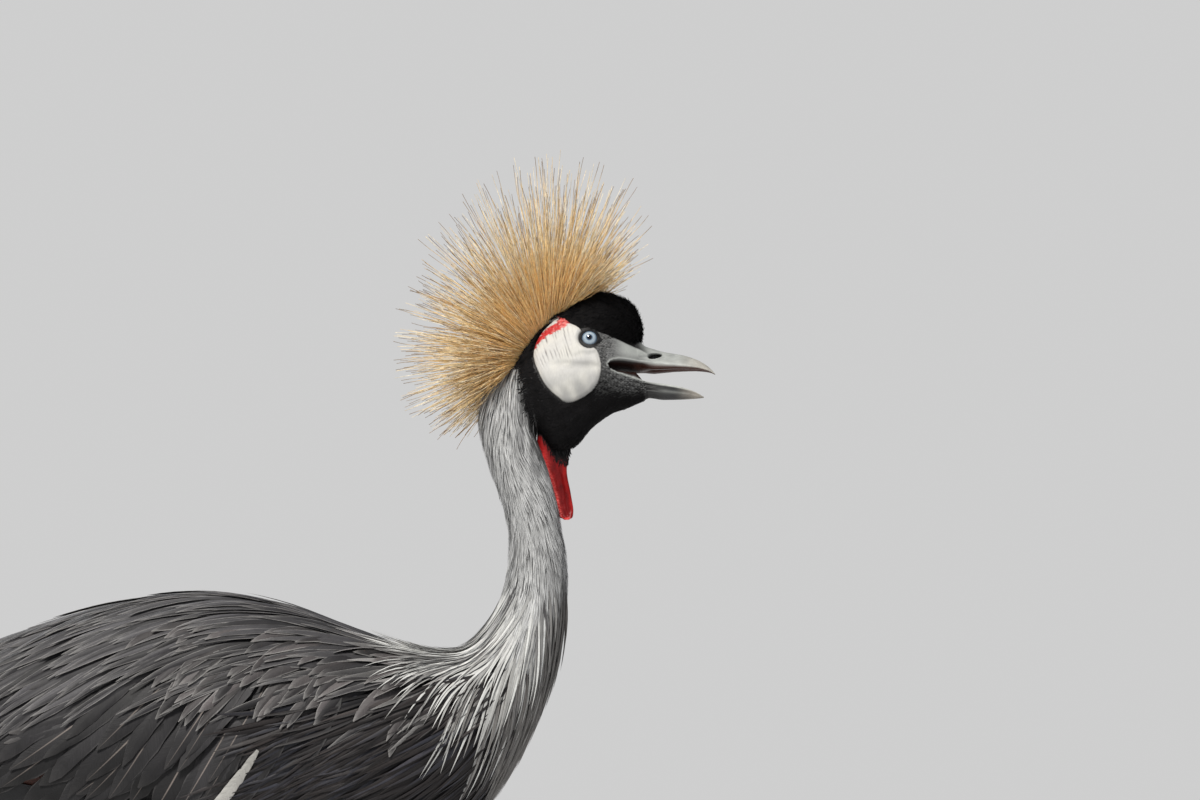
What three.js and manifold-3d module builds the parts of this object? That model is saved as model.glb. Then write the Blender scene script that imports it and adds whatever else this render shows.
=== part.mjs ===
import * as THREE from "three";
import { mergeVertices } from "three/addons/utils/BufferGeometryUtils.js";
import Module from "manifold-3d";

// A grey crowned crane, life size, standing with its bill open and its head cocked.
// Millimetres. +Z is up, the bird faces +X, and +Y is its left side. The floor is z = 0.
// The origin is on the floor, under the middle of the bird's box. The cocked head takes the
// crest to the bird's left, so the body's own middle plane lies a little to the right of it.

const wasm = await Module();
wasm.setup();

// Driving dimensions
const GAP = 0.3; // clearance between pieces that touch
const MIDDLE_Y = -32; // the body's middle plane; the shapes below count y from it
const HEAD_ROLL = THREE.MathUtils.degToRad(18); // the crown leans to the bird's left
const ROLL_PIVOT_Z = 735; // height of the neck top, where the roll turns
const EYE = { x: 253.8, z: 811, y: 15.5, radius: 8 };
const CREST = {
  roots: { from: [206, 786], to: [243, 842] }, // the line along which it leaves the head
  core: { centre: [223, 0, 818], radii: [55, 27, 31], lean: -0.99 },
  count: 92,
  lean: [236, 28], // degrees above forward, at the nape and at the cap
  reach: [76, 104, 122, 138, 142, 136, 124, 98], // bristle length from the nape to the cap
  spread: 0.76, // sine of the widest sideways lean
  start: 9,
  radius: [1.15, 0.75],
};
const LEG = { y: 44, knee: [30, 412], ankle: [-20, 208], heel: [2, 20] };
const TOES = {
  inner: { yaw: -0.5, length: 66, radius: 6 },
  middle: { yaw: 0.03, length: 84, radius: 6.6 },
  outer: { yaw: 0.56, length: 68, radius: 6 },
  hind: { yaw: Math.PI - 0.12, length: 30, radius: 5 },
};
const WING_DEPTH = 14; // how far the folded wing stands off the flank
const MANTLE_DEPTH = 3;
const VANE = { thick: 0.7, sink: 2.6 };

// The trunk from the folded wing tips to the nape, as sections that each run from the
// back line to the belly line: [back x, back z, belly x, belly z, half width].
const TRUNK = [
  [-352, 497, -346, 450, 21],
  [-318, 515, -305, 440, 34],
  [-270, 539, -250, 428, 47],
  [-222, 563, -192, 414, 60],
  [-170, 586, -135, 396, 72],
  [-112, 605, -75, 381, 82],
  [-48, 616, -8, 374, 89],
  [14, 607, 55, 379, 90],
  [62, 592, 112, 398, 86],
  [103, 578, 160, 433, 77],
  [134, 572.5, 192, 478, 64],
  [155, 573, 212, 517, 52],
  [169.5, 584, 225, 550, 42],
  [179.5, 599, 233, 584, 34],
  [186.5, 618, 236.5, 612, 28.5],
  [190.5, 641, 236.5, 640, 24.5],
  [191, 664, 232.5, 666, 22],
  [185, 688, 228, 690, 21],
  [176.5, 711, 221, 713, 20.5],
  [169.5, 735, 216, 729, 20.5],
  [167, 757, 213.5, 733.5, 21],
  [172, 778, 213.2, 736, 21],
  [183, 794, 213.5, 737.8, 21],
  [199, 804, 214.5, 739.5, 21],
];
const RUMP = 2.15; // where the torso ends, counted in trunk sections
const RUMP_DRAW = { shrink: 0.62, until: 5, drop: 22 };
const NECK_ROOT = 10.6;
const NECK_SPLITS = [12.9, 16.6];
const NAPE = TRUNK.length - 1;

// The head in its own upright frame, before the roll, from the nape to the bill's root.
const HEAD = [
  [199, 804, 214.5, 739.5, 21],
  [208, 816, 228, 727, 21.5],
  [218, 829, 242, 729, 22.5],
  [230, 839, 257, 745.5, 23.5],
  [245, 843, 272, 756.5, 23],
  [260, 840, 284, 761, 19.5],
  [274, 833, 293, 765, 15.5],
  [286, 822, 300, 768, 12],
];

// Bill sections: [x, ridge z, edge z, half width]; the ridge is the culmen above and the keel below.
const UPPER_BILL = [
  [287, 820, 798, 11.4],
  [299, 811.8, 798.2, 8.8],
  [310, 808.8, 797.4, 7.4],
  [321, 806.8, 796.6, 6.1],
  [332, 804.6, 795.4, 4.7],
  [340, 801, 793.6, 3.4],
  [346, 796, 791.4, 2],
  [351.5, 789.6, 789, 0.5],
];
const LOWER_BILL = [
  [287, 768.4, 783.6, 10.6],
  [302, 768.4, 780.7, 7.8],
  [314, 768.8, 779.4, 6.2],
  [325, 769.2, 776.8, 4.7],
  [335.5, 769.4, 773.8, 2.9],
  [342.5, 770.2, 770.8, 0.6],
];
const NOSTRIL = { x: 304, z: 804.2, length: 11, height: 4, tilt: 0.12, septum: 1.4 };
const GAPE = [
  [268.5, 791],
  [272, 795],
  [278, 798.2],
  [286, 798],
  [330, 798],
  [330, 780],
  [302, 780.9],
  [291, 783],
  [280, 786],
  [272, 790],
];
const CHEEK = [
  [232, 830],
  [245, 820.5],
  [246.5, 809.5],
  [257.5, 800],
  [263, 785],
  [256, 765],
  [238.5, 757.5],
  [217, 777],
  [210.5, 801],
];
const CHEEK_SPLIT = { from: [206, 796], to: [250, 830.5] }; // red skin above, white below
const CHEEK_PROUD = 2;
const CHEEK_DEPTH = 2;
// The throat sac: a thin fold inside a thick rolled rim, given from the top of its rear edge
// round its bottom to the top of its front edge as [x, z, rim radius].
const WATTLE = [
  [211, 744, 1.6],
  [217, 722, 2],
  [225, 700, 2.4],
  [230.5, 684, 2.8],
  [234, 677, 3.2],
  [238.6, 676.5, 3.2],
  [239.6, 688, 2.6],
  [237.6, 704, 2.2],
  [236.8, 722, 2],
  [239, 738, 1.6],
];
const WATTLE_THICK = 2.4;

// Side outlines of the folded wing: the arm, and the hand along its lower edge.
const ARM = [
  [58, 512],
  [76, 486],
  [50, 460],
  [-30, 447],
  [-130, 446],
  [-200, 456],
  [-216, 500],
  [-190, 544],
  [-110, 564],
  [-20, 558],
  [30, 538],
];
const HAND = [
  [38, 448],
  [28, 437],
  [-60, 428],
  [-160, 424],
  [-196, 430],
  [-196, 448],
];
const HAND_INNER = 23; // the hand stays this far from the middle, clear of the tail
const ARM_LEVEL = -8.4; // the arm's skin below the trunk's surface
const HAND_LEVEL = -3;

// Rows of flat feathers. A place is [trunk section, angle from the back in degrees]; each
// row holds count feathers spread between its two ends, and levels are heights at the
// feather's root and at its tip.
const MANTLE_ROWS = [
  { at: 9.4, reach: 1.75, angles: [0, 64], count: 3, width: 34, droop: 6 },
  { at: 8.2, reach: 1.75, angles: [15, 62], count: 3, width: 36, droop: 12 },
  { at: 7, reach: 1.85, angles: [0, 46], count: 3, width: 35, droop: 18 },
  { at: 5.8, reach: 1.9, angles: [11, 40], count: 2, width: 38, droop: 18 },
  { at: 4.7, reach: 1.9, angles: [0, 34], count: 2, width: 38, droop: 12 },
  { at: 3.85, reach: 2.35, angles: [10, 24], count: 2, width: 30, droop: 14 },
];
const MANTLE_LEVELS = [-3.4, -0.3];
const BREAST_ROWS = [
  { at: 9.6, reach: 1.45, angles: [90, 156], count: 3, width: 33, droop: 8 },
];
const BREAST_LEVELS = [0.6, 2.6];
const NECK_ROWS = [
  { at: 12.2, reach: [2.6, 2.1], angles: [0, 180], count: 7, width: 19, droop: 0 },
  { at: 11.5, reach: [2.4, 2.2], angles: [17, 163], count: 5, width: 23, droop: 0 },
];
const NECK_LEVELS = [[2.6, 4.6], [0.9, 2.6]];
const COVERT_ROWS = [
  { at: 7.2, reach: 1.5, angles: [70, 98], count: 3, width: 32, droop: 4 },
  { at: 6, reach: 1.5, angles: [62, 98], count: 3, width: 37, droop: 3 },
  { at: 4.8, reach: 1.5, angles: [60, 98], count: 3, width: 37, droop: 2 },
];
const COVERT_LEVELS = [-7.6, -5.4];
const SECONDARIES = {
  count: 6,
  root: { at: [4.3, 4], angles: [56, 98] },
  tip: { at: [1.15, 0.02], angles: [48, 108] },
  level: -6.4,
  step: 1.2,
  width: 30,
};
const PRIMARIES = {
  count: 3,
  root: { at: [3.8, 3.5], angles: [121, 130] },
  tip: { at: [0.5, 1.3], angles: [124, 136] },
  level: -3.8,
  step: 1.1,
  width: 15,
};
const TAIL = [
  [-256, 496, -250, 440, 17],
  [-300, 472, -296, 440, 17],
  [-347, 464, -345, 446, 17],
];
const TAIL_STUB = { until: 0.75, level: -4.4 };
const RECTRICES = { side: 2, level: -0.6, step: 1.1, width: 16, angles: 28 };
const SCUTES = { count: 10, from: 0.2, to: 0.84, proud: 0.9, lap: 0.003 }; // places are shares of the tarsus

const colours = {
  black: { color: 0x0b0b0c, roughness: 0.9 },
  slate: { color: 0x55524f, roughness: 0.8 },
  pale_grey: { color: 0xa5a6a2, roughness: 0.8 },
  white: { color: 0xe6e4de, roughness: 0.7 },
  red: { color: 0xb3262a, roughness: 0.5 },
  wattle_red: { color: 0x8e1414, roughness: 0.45 },
  gold: { color: 0xc39a5e, roughness: 0.7 },
  bill: { color: 0x8f9290, roughness: 0.45 },
  eye: { color: 0xb4cbdc, roughness: 0.1 },
  leg: { color: 0x1d1c1c, roughness: 0.6 },
  claw: { color: 0x141312, roughness: 0.4 },
};
const materials = Object.fromEntries(
  Object.entries(colours).map(([slot, look]) => [
    slot,
    new THREE.MeshStandardMaterial({ name: slot, metalness: 0, ...look }),
  ]),
);

// Closed solids

// The solid of a closed three.js geometry.
function solidOf(geometry) {
  const bare = geometry.index ? geometry.toNonIndexed() : geometry.clone();
  for (const name of Object.keys(bare.attributes)) {
    if (name !== "position") bare.deleteAttribute(name);
  }
  const merged = mergeVertices(bare, 1e-4);
  const vertProperties = new Float32Array(merged.attributes.position.array);
  const triVerts = new Uint32Array(merged.index.array);
  const made = new wasm.Manifold(new wasm.Mesh({ numProp: 3, vertProperties, triVerts }));
  if (made.volume() > 0) return made;
  for (let i = 0; i < triVerts.length; i += 3) {
    [triVerts[i + 1], triVerts[i + 2]] = [triVerts[i + 2], triVerts[i + 1]];
  }
  return new wasm.Manifold(new wasm.Mesh({ numProp: 3, vertProperties, triVerts }));
}

// A closed skin over rings of equally many points, with each end closed to its middle. The
// two halves of a ring are split into triangles as mirror images of each other.
function skinOver(rings) {
  const sides = rings[0].length;
  const middle = (ring) => ring.reduce((sum, p) => sum.add(p), new THREE.Vector3()).divideScalar(sides);
  const points = [...rings.flat(), middle(rings[0]), middle(rings[rings.length - 1])];
  const index = [];
  for (let r = 0; r + 1 < rings.length; r++) {
    for (let s = 0; s < sides; s++) {
      const a = r * sides + s;
      const b = r * sides + ((s + 1) % sides);
      if (s < sides / 2) index.push(a, b, a + sides, b, b + sides, a + sides);
      else index.push(a, b, b + sides, a, b + sides, a + sides);
    }
  }
  const last = (rings.length - 1) * sides;
  for (let s = 0; s < sides; s++) {
    const next = (s + 1) % sides;
    index.push(next, s, points.length - 2);
    index.push(last + s, last + next, points.length - 1);
  }
  return new THREE.BufferGeometry().setFromPoints(points).setIndex(index);
}

const union = (solids) => wasm.Manifold.union(solids);

// The largest closed surface of a solid, without loose scraps or sealed hollows.
function largest(solid) {
  return solid.decompose().sort((a, b) => b.volume() - a.volume())[0];
}

const group = new THREE.Group();
group.position.y = MIDDLE_Y;
const made = {};

// Adds a solid to the model as a named mesh.
function add(name, solid, slot) {
  const kept = largest(solid);
  const { vertProperties, triVerts } = kept.getMesh();
  const geometry = new THREE.BufferGeometry();
  geometry.setAttribute("position", new THREE.BufferAttribute(vertProperties, 3));
  geometry.setIndex(new THREE.BufferAttribute(triVerts, 1));
  geometry.computeVertexNormals();
  const mesh = new THREE.Mesh(geometry, materials[slot]);
  mesh.name = name;
  group.add(mesh);
  made[name] = kept;
  return kept;
}

const mirrored = (solid) => solid.mirror([0, 1, 0]);

// Adds a right-hand piece, and its mirror image on the left.
function addPair(name, solid, slot) {
  add(`${name}_right`, solid, slot);
  add(`${name}_left`, mirrored(solid), slot);
}

// Sections between a back line and a belly line

// A smooth curve through one station list gives the section at any place along it.
function sections(list) {
  const back = new THREE.CatmullRomCurve3(list.map(([x, z]) => new THREE.Vector3(x, 0, z)));
  const belly = new THREE.CatmullRomCurve3(list.map(([, , x, z]) => new THREE.Vector3(x, 0, z)));
  const width = new THREE.CatmullRomCurve3(list.map((s, i) => new THREE.Vector3(10 * i, s[4], 0)));
  return (at) => {
    const u = THREE.MathUtils.clamp(at / (list.length - 1), 0, 1);
    const top = back.getPoint(u);
    const bottom = belly.getPoint(u);
    return {
      centre: top.clone().add(bottom).multiplyScalar(0.5),
      half: top.clone().sub(bottom).multiplyScalar(0.5),
      width: width.getPoint(u).y,
    };
  };
}

const trunkAt = sections(TRUNK);
const headAt = sections(HEAD);
const tailAt = sections(TAIL);
const SIDE = new THREE.Vector3(0, 1, 0);

// A point of a section's outline: angle 0 is the back, a quarter turn is the bird's right
// side, and out is how far it stands off the surface.
function onSection({ centre, half, width }, angle, out = 0) {
  const up = half.clone().normalize();
  const depth = half.length();
  const normal = up
    .clone()
    .multiplyScalar(Math.cos(angle) / depth)
    .addScaledVector(SIDE, -Math.sin(angle) / width)
    .normalize();
  return centre
    .clone()
    .addScaledVector(up, depth * Math.cos(angle))
    .addScaledVector(SIDE, -width * Math.sin(angle))
    .addScaledVector(normal, out);
}

const trunkPoint = (at, angle, out = 0) => onSection(trunkAt(at), angle, out);

function ringOf(section, sides, out) {
  return Array.from({ length: sides }, (_, i) => onSection(section, (2 * Math.PI * i) / sides, out));
}

// A length of a section list as one closed solid. A positive out grows it at both ends too,
// and inset moves its first face in.
function lengthOf(sectionAt, from, to, count, { sides = 20, out = 0, inset = 0, pose = null } = {}) {
  const rings = [];
  const grown = Math.max(out, 0);
  for (let i = 0; i <= count; i++) {
    const at = from + ((to - from) * i) / count;
    const section = sectionAt(at);
    const ring = ringOf(section, sides, out);
    const shift = i === 0 ? inset - grown : i === count ? grown : 0;
    if (shift) {
      const along = sectionAt(at + 0.05).centre.sub(sectionAt(at - 0.05).centre);
      const face = new THREE.Vector3().crossVectors(section.half, SIDE).normalize();
      face.multiplyScalar(Math.sign(face.dot(along)) * shift);
      ring.forEach((p) => p.add(face));
    }
    if (pose) ring.forEach((p) => pose(p, at));
    rings.push(ring);
  }
  return solidOf(skinOver(rings));
}

// Flat feathers

// How far along a feather each of its sections lies, and how wide it is there.
const VANE_SHAPE = [
  [0, 0.36],
  [0.3, 0.95],
  [0.76, 0.86],
  [1, 0.14],
];
const PLUME_SHAPE = [
  [0, 0.3],
  [0.2, 0.9],
  [0.6, 0.8],
  [1, 0.08],
];

// Closes rows of [left top, right top, right bottom, left bottom] points into a plate whose
// two faces are split into triangles alike.
function plateOver(rows) {
  const index = [0, 3, 2, 0, 2, 1];
  for (let a = 0; a + 4 < rows.length * 4; a += 4) {
    const b = a + 4;
    index.push(a, a + 1, b + 1, a, b + 1, b);
    index.push(a + 1, a + 2, b + 2, a + 1, b + 2, b + 1);
    index.push(a + 2, a + 3, b + 2, a + 3, b + 3, b + 2);
    index.push(a + 3, a, b, a + 3, b, b + 3);
  }
  const end = (rows.length - 1) * 4;
  index.push(end, end + 1, end + 2, end, end + 2, end + 3);
  return solidOf(new THREE.BufferGeometry().setFromPoints(rows.flat()).setIndex(index));
}

// A step sideways on a surface: how far the two coordinates change for a move by a vector.
function surfaceStep(surface, at, angle, move) {
  const e = 0.02;
  const along = surface(at + e, angle, 0).sub(surface(at - e, angle, 0)).divideScalar(2 * e);
  const round = surface(at, angle + e, 0).sub(surface(at, angle - e, 0)).divideScalar(2 * e);
  const [aa, ab, bb] = [along.dot(along), along.dot(round), round.dot(round)];
  const [am, bm] = [along.dot(move), round.dot(move)];
  const det = aa * bb - ab * ab;
  return [(am * bb - bm * ab) / det, (bm * aa - am * ab) / det];
}

// One flat feather from a root to a tip, both [at, angle] on a surface. Its height off the
// surface is levels[0] near the root and levels[1] at the tip, with the root sunk by depth;
// turn lifts its left edge and lowers its right one.
function vane(surface, { root, tip, bow = 0, width, levels, depth = VANE.sink, turn = 0, shape = VANE_SHAPE }) {
  const place = (u) => [
    root[0] + (tip[0] - root[0]) * u,
    root[1] + (tip[1] - root[1]) * u + bow * 4 * u * (1 - u),
  ];
  const rows = shape.map(([u, share]) => {
    const [at, angle] = place(u);
    const level = levels[0] + (levels[1] - levels[0]) * u - depth * (1 - u) ** 8;
    const here = surface(at, angle, 0);
    const ahead = surface(...place(u + 0.02), 0).sub(here);
    const normal = surface(at, angle, 1).sub(here);
    const across = new THREE.Vector3().crossVectors(normal, ahead).setLength((width * share) / 2);
    const [stepAt, stepAngle] = surfaceStep(surface, at, angle, across);
    const edge = (side, face) =>
      surface(
        at + stepAt * side,
        angle + stepAngle * side,
        level + turn * side * share + (face * VANE.thick) / 2,
      );
    return [edge(1, 1), edge(-1, 1), edge(-1, -1), edge(1, -1)];
  });
  return plateOver(rows);
}

const degrees = THREE.MathUtils.degToRad;
const spread = ([from, to], share) => from + (to - from) * share;

// The right half of a row of feathers; one at angle 0 or 180 lies on the middle line.
function vaneRow(surface, { at, reach, angles, count, width, droop }, levels, options = {}) {
  return Array.from({ length: count }, (_, i) => {
    const share = i / (count - 1);
    const angle = degrees(spread(angles, share));
    const length = Array.isArray(reach) ? spread(reach, share) : reach;
    const middle = Math.abs(Math.sin(angle)) < 1e-6;
    const lean = middle ? 0 : degrees(droop) * (0.4 + 0.6 * share);
    return {
      middle,
      solid: vane(surface, {
        root: [at, angle],
        tip: [at - length, angle + lean],
        width,
        levels,
        turn: middle ? 0 : 0.45,
        ...options,
      }),
    };
  });
}

// Both halves of several rows, without doubling the feathers on the middle line.
function bothSides(rows) {
  return rows.flat().flatMap(({ middle, solid }) => (middle ? [solid] : [solid, mirrored(solid)]));
}

// The head's roll

const rollAxis = new THREE.Vector3(1, 0, 0);

function roll(point, share = 1) {
  point.z -= ROLL_PIVOT_Z;
  point.applyAxisAngle(rollAxis, -HEAD_ROLL * share);
  point.z += ROLL_PIVOT_Z;
  return point;
}

const rolled = (solid) => {
  const turn = new THREE.Matrix4()
    .makeTranslation(0, 0, ROLL_PIVOT_Z)
    .multiply(new THREE.Matrix4().makeRotationX(-HEAD_ROLL))
    .multiply(new THREE.Matrix4().makeTranslation(0, 0, -ROLL_PIVOT_Z));
  return solid.transform(turn.elements);
};

const rollNeck = (point, at) => roll(point, THREE.MathUtils.smoothstep(at, 15, 20.5));

// Simple solids

function ellipsoid(centre, radii, turnY = 0, detail = 20) {
  const geometry = new THREE.SphereGeometry(1, detail, Math.round(detail * 0.6));
  geometry.scale(...radii).rotateY(turnY).translate(...centre);
  return solidOf(geometry);
}

// A prism across the body: an outline in the side view, from one y to another.
function prism(outline, fromY, toY, round = false) {
  let points = outline.map(([x, z]) => new THREE.Vector2(x, z));
  if (round) {
    const curve = new THREE.CatmullRomCurve3(
      points.map((p) => new THREE.Vector3(p.x, p.y, 0)),
      true,
    );
    points = curve.getPoints(outline.length * 2).slice(0, -1);
  }
  const shape = new THREE.Shape(points.map((p) => new THREE.Vector2(p.x, p.y)));
  const geometry = new THREE.ExtrudeGeometry(shape, { depth: toY - fromY, bevelEnabled: false });
  geometry.rotateX(Math.PI / 2).translate(0, toY, 0);
  return solidOf(geometry);
}

// An outline moved away from its middle.
function grownOutline(outline, by) {
  const middle = new THREE.Vector2();
  outline.forEach(([x, z]) => middle.add(new THREE.Vector2(x, z)));
  middle.divideScalar(outline.length);
  return outline.map(([x, z]) => {
    const out = new THREE.Vector2(x, z).sub(middle).normalize().multiplyScalar(by);
    return [x + out.x, z + out.y];
  });
}

// A plate that fills everything above a line in the side view.
function above(from, to, lift = 0) {
  const along = new THREE.Vector2(to[0] - from[0], to[1] - from[1]).normalize();
  const up = new THREE.Vector2(-along.y, along.x);
  const corner = (a, b) => [
    from[0] + along.x * a + up.x * (b + lift),
    from[1] + along.y * a + up.y * (b + lift),
  ];
  return prism([corner(-300, 0), corner(300, 0), corner(300, 300), corner(-300, 300)], -200, 200);
}

function box(from, to) {
  const size = to.map((value, axis) => value - from[axis]);
  const middle = to.map((value, axis) => (value + from[axis]) / 2);
  return solidOf(new THREE.BoxGeometry(...size).translate(...middle));
}

// The part of a solid between two heights.
const band = (solid, low, high) => solid.intersect(box([-600, -300, low], [600, 300, high]));

// The smooth middle line of a limb through stations of [x, y, z, radius].
function axisOf(stations) {
  const middle = new THREE.CatmullRomCurve3(stations.map(([x, y, z]) => new THREE.Vector3(x, y, z)));
  const size = new THREE.CatmullRomCurve3(stations.map((s, i) => new THREE.Vector3(10 * i, s[3], 0)));
  return (u) => ({ centre: middle.getPoint(u), along: middle.getTangent(u), radius: size.getPoint(u).y });
}

// A ring of a round limb, square to its middle line.
function limbRing({ centre, along, radius }, sides = 10, out = 0) {
  const other = new THREE.Vector3().crossVectors(along, SIDE).normalize();
  const across = new THREE.Vector3().crossVectors(other, along);
  return Array.from({ length: sides }, (_, s) => {
    const angle = (2 * Math.PI * s) / sides;
    return centre
      .clone()
      .addScaledVector(across, (radius + out) * Math.cos(angle))
      .addScaledVector(other, (radius + out) * Math.sin(angle));
  });
}

// A round limb with equally spaced rings.
function limb(stations, { sides = 10, steps = 2, out = 0 } = {}) {
  const axis = axisOf(stations);
  const count = steps * (stations.length - 1);
  const rings = Array.from({ length: count + 1 }, (_, i) => limbRing(axis(i / count), sides, out));
  return solidOf(skinOver(rings));
}

// Head

function billSolid(stations, roof) {
  const OUTER = 8;
  const rings = stations.map(([x, ridge, edge, half]) => {
    const ring = [];
    for (let i = 0; i <= OUTER; i++) {
      const angle = -Math.PI / 2 + (Math.PI * i) / OUTER;
      ring.push(new THREE.Vector3(x, half * Math.sin(angle), edge + (ridge - edge) * Math.cos(angle)));
    }
    const hollow = (ridge - edge) * roof;
    ring.push(new THREE.Vector3(x, half * 0.5, edge + hollow));
    ring.push(new THREE.Vector3(x, -half * 0.5, edge + hollow));
    return ring;
  });
  return solidOf(skinOver(rings));
}

function nostrils() {
  const { x, z, length, height, tilt, septum } = NOSTRIL;
  const slot = new THREE.CylinderGeometry(1, 1, 20, 12);
  slot.scale(length / 2, 1, height / 2).rotateY(tilt).translate(x, 10 + septum / 2, z);
  const right = solidOf(slot).mirror([0, 1, 0]);
  return union([right, mirrored(right)]);
}

function eyeSolid(out = 0) {
  const radius = EYE.radius + out;
  return ellipsoid([EYE.x, -EYE.y, EYE.z], [radius, radius, radius], 0, 12);
}

// The raised rim of bare skin round the eye.
function lid(out = 0) {
  const ring = new THREE.TorusGeometry(7.1, 1.5 + out, 4, 14);
  ring.scale(1.06, 0.98, 1).rotateX(Math.PI / 2).translate(EYE.x, -EYE.y - 3.6, EYE.z);
  return solidOf(ring);
}

const headForm = (out, inset = 0) =>
  lengthOf(headAt, 0, HEAD.length - 1, 10, { sides: 18, out, inset });

function buildHead() {
  const whole = headForm(0, GAP);
  const patch = prism(CHEEK, -60, -4, true);
  const cheekPair = patch.intersect(headForm(CHEEK_PROUD)).subtract(headForm(-CHEEK_DEPTH));
  const recess = prism(grownOutline(CHEEK, GAP), -60, -4, true).subtract(headForm(-CHEEK_DEPTH - GAP));
  const lids = union([lid(), mirrored(lid())]);
  const sockets = union([eyeSolid(GAP), mirrored(eyeSolid(GAP))]);
  const mouth = prism(GAPE, -60, 60);
  const head = union([whole, lids])
    .subtract(recess)
    .subtract(mirrored(recess))
    .subtract(sockets)
    .subtract(mouth);
  const cheek = cheekPair.subtract(lid(GAP)).subtract(eyeSolid(GAP));
  const red = above(CHEEK_SPLIT.from, CHEEK_SPLIT.to, GAP);
  const white = above(CHEEK_SPLIT.to, CHEEK_SPLIT.from, 0);
  return { head, cheek, red, white };
}

const { head, cheek, red, white } = buildHead();

// The velvet cap; out grows it on every side.
function capForm(out) {
  const grow = (radii) => radii.map((radius) => radius + out);
  const lobe = ellipsoid([263, 0, 830], grow([32.5, 19, 25.5]), 0, 14);
  const brow = ellipsoid([240, 0, 833], grow([17, 15, 11]), -0.5, 9);
  return union([
    lobe.intersect(above([250, 823], [296, 812.5], -out)),
    brow.intersect(above([200, 830], [250, 823], -out)),
  ]);
}

// The room that the head takes with its cheeks, eyes and lids.
function headSpace() {
  const patch = prism(grownOutline(CHEEK, GAP), -60, -4, true).intersect(headForm(CHEEK_PROUD + GAP));
  const near = union([patch, eyeSolid(GAP), lid(GAP)]);
  return union([headForm(GAP), near, mirrored(near)]);
}

const cap = capForm(0).subtract(headSpace());
const upperBill = billSolid(UPPER_BILL, 0.25).subtract(nostrils());
const lowerBill = billSolid(LOWER_BILL, 0.35);
const billRoot = prism([[280, 900], [286.2, 822], [300.2, 768], [303, 700], [200, 700], [200, 900]], -60, 60);

add("head", rolled(head), "black");
add("cap", rolled(cap.subtract(upperBill)), "black");
add("bill_upper", rolled(upperBill.subtract(billRoot)), "bill");
add("bill_lower", rolled(lowerBill.subtract(billRoot)), "bill");
add("eye_right", rolled(eyeSolid()), "eye");
add("eye_left", rolled(mirrored(eyeSolid())), "eye");
add("cheek_right", rolled(cheek.intersect(white)), "white");
add("cheek_left", rolled(mirrored(cheek.intersect(white))), "white");
add("cheek_red_right", rolled(cheek.intersect(red)), "red");
add("cheek_red_left", rolled(mirrored(cheek.intersect(red))), "red");

// Neck and torso

// The body under the plumage: narrower at the flanks, where the wings lie, and drawn in
// towards the rump.
function torsoAt(at) {
  const section = trunkAt(at);
  const drawn = 1 - RUMP_DRAW.shrink * (1 - THREE.MathUtils.smoothstep(at, RUMP, RUMP_DRAW.until));
  const flank = WING_DEPTH * (1 - THREE.MathUtils.smoothstep(at, 6.5, NECK_ROOT - 0.6));
  section.centre.z -= (1 - drawn) * RUMP_DRAW.drop;
  section.half.setLength(section.half.length() * drawn - MANTLE_DEPTH);
  section.width = section.width * drawn - Math.max(flank, MANTLE_DEPTH);
  return section;
}

const torsoForm = (out) => lengthOf(torsoAt, RUMP, NECK_ROOT, 12, { sides: 18, out });
const trunkForm = (out) => lengthOf(trunkAt, 0, NECK_ROOT, 14, { sides: 18, out });
const torsoPoint = (at, angle, out) => onSection(torsoAt(at), angle, out);

const neckEnds = [NECK_ROOT, ...NECK_SPLITS, NAPE];
const neckPart = (part, out, inset = 0) =>
  lengthOf(trunkAt, neckEnds[part], neckEnds[part + 1], Math.round(1.8 * (neckEnds[part + 1] - neckEnds[part])), {
    sides: 14,
    out,
    inset,
    pose: rollNeck,
  });
const neckForm = (out) => union([0, 1, 2].map((part) => neckPart(part, out)));

// A feather that grows from the body starts on it and passes out to the trunk's surface.
function plumagePoint(rootAt) {
  return (at, angle, out) => {
    const share = THREE.MathUtils.smoothstep(rootAt - at, 0, 0.35);
    const body = onSection(torsoAt(at), angle, out + MANTLE_DEPTH);
    return body.lerp(trunkPoint(at, angle, out), share);
  };
}

const mantle = MANTLE_ROWS.map((row) => vaneRow(plumagePoint(row.at), row, MANTLE_LEVELS));
const breast = BREAST_ROWS.map((row) => vaneRow(torsoPoint, row, BREAST_LEVELS));
add("torso", union([torsoForm(0), ...bothSides([...mantle, ...breast])]), "slate");

const neckPlumes = NECK_ROWS.map((row, i) =>
  vaneRow(trunkPoint, row, NECK_LEVELS[i], { shape: PLUME_SHAPE, depth: NECK_LEVELS[i][0] + 1.6 }),
);
add("neck_base", union([neckPart(0, 0, GAP), ...bothSides(neckPlumes)]), "pale_grey");
add("neck_lower", neckPart(1, 0, GAP), "pale_grey");
add("neck_upper", neckPart(2, 0, GAP), "pale_grey");

const rim = limb(WATTLE.map(([x, z, radius]) => [x, 0, z, radius]), { sides: 7, steps: 1 });
const fold = prism(WATTLE.map(([x, z]) => [x, z]), -WATTLE_THICK / 2, WATTLE_THICK / 2);
const wattle = union([rim, fold]).subtract(rolled(headForm(GAP))).subtract(neckForm(GAP));
add("wattle", wattle, "wattle_red");

// Wings and tail

const rightSide = box([-400, -200, 0], [400, -2, 1000]);
const inside = union([torsoForm(GAP), trunkForm(-WING_DEPTH)]);
const shell = (level) => trunkForm(level).subtract(inside).intersect(rightSide);

// A fan of long flight feathers that lie one under the other.
function flightFan({ count, root, tip, level, step, width }, depth) {
  return Array.from({ length: count }, (_, i) => {
    const share = i / (count - 1);
    const tipLevel = level - step * i;
    return vane(trunkPoint, {
      root: [spread(root.at, share), degrees(spread(root.angles, share))],
      tip: [spread(tip.at, share), degrees(spread(tip.angles, share))],
      width,
      levels: [tipLevel, tipLevel],
      depth,
    });
  });
}

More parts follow.
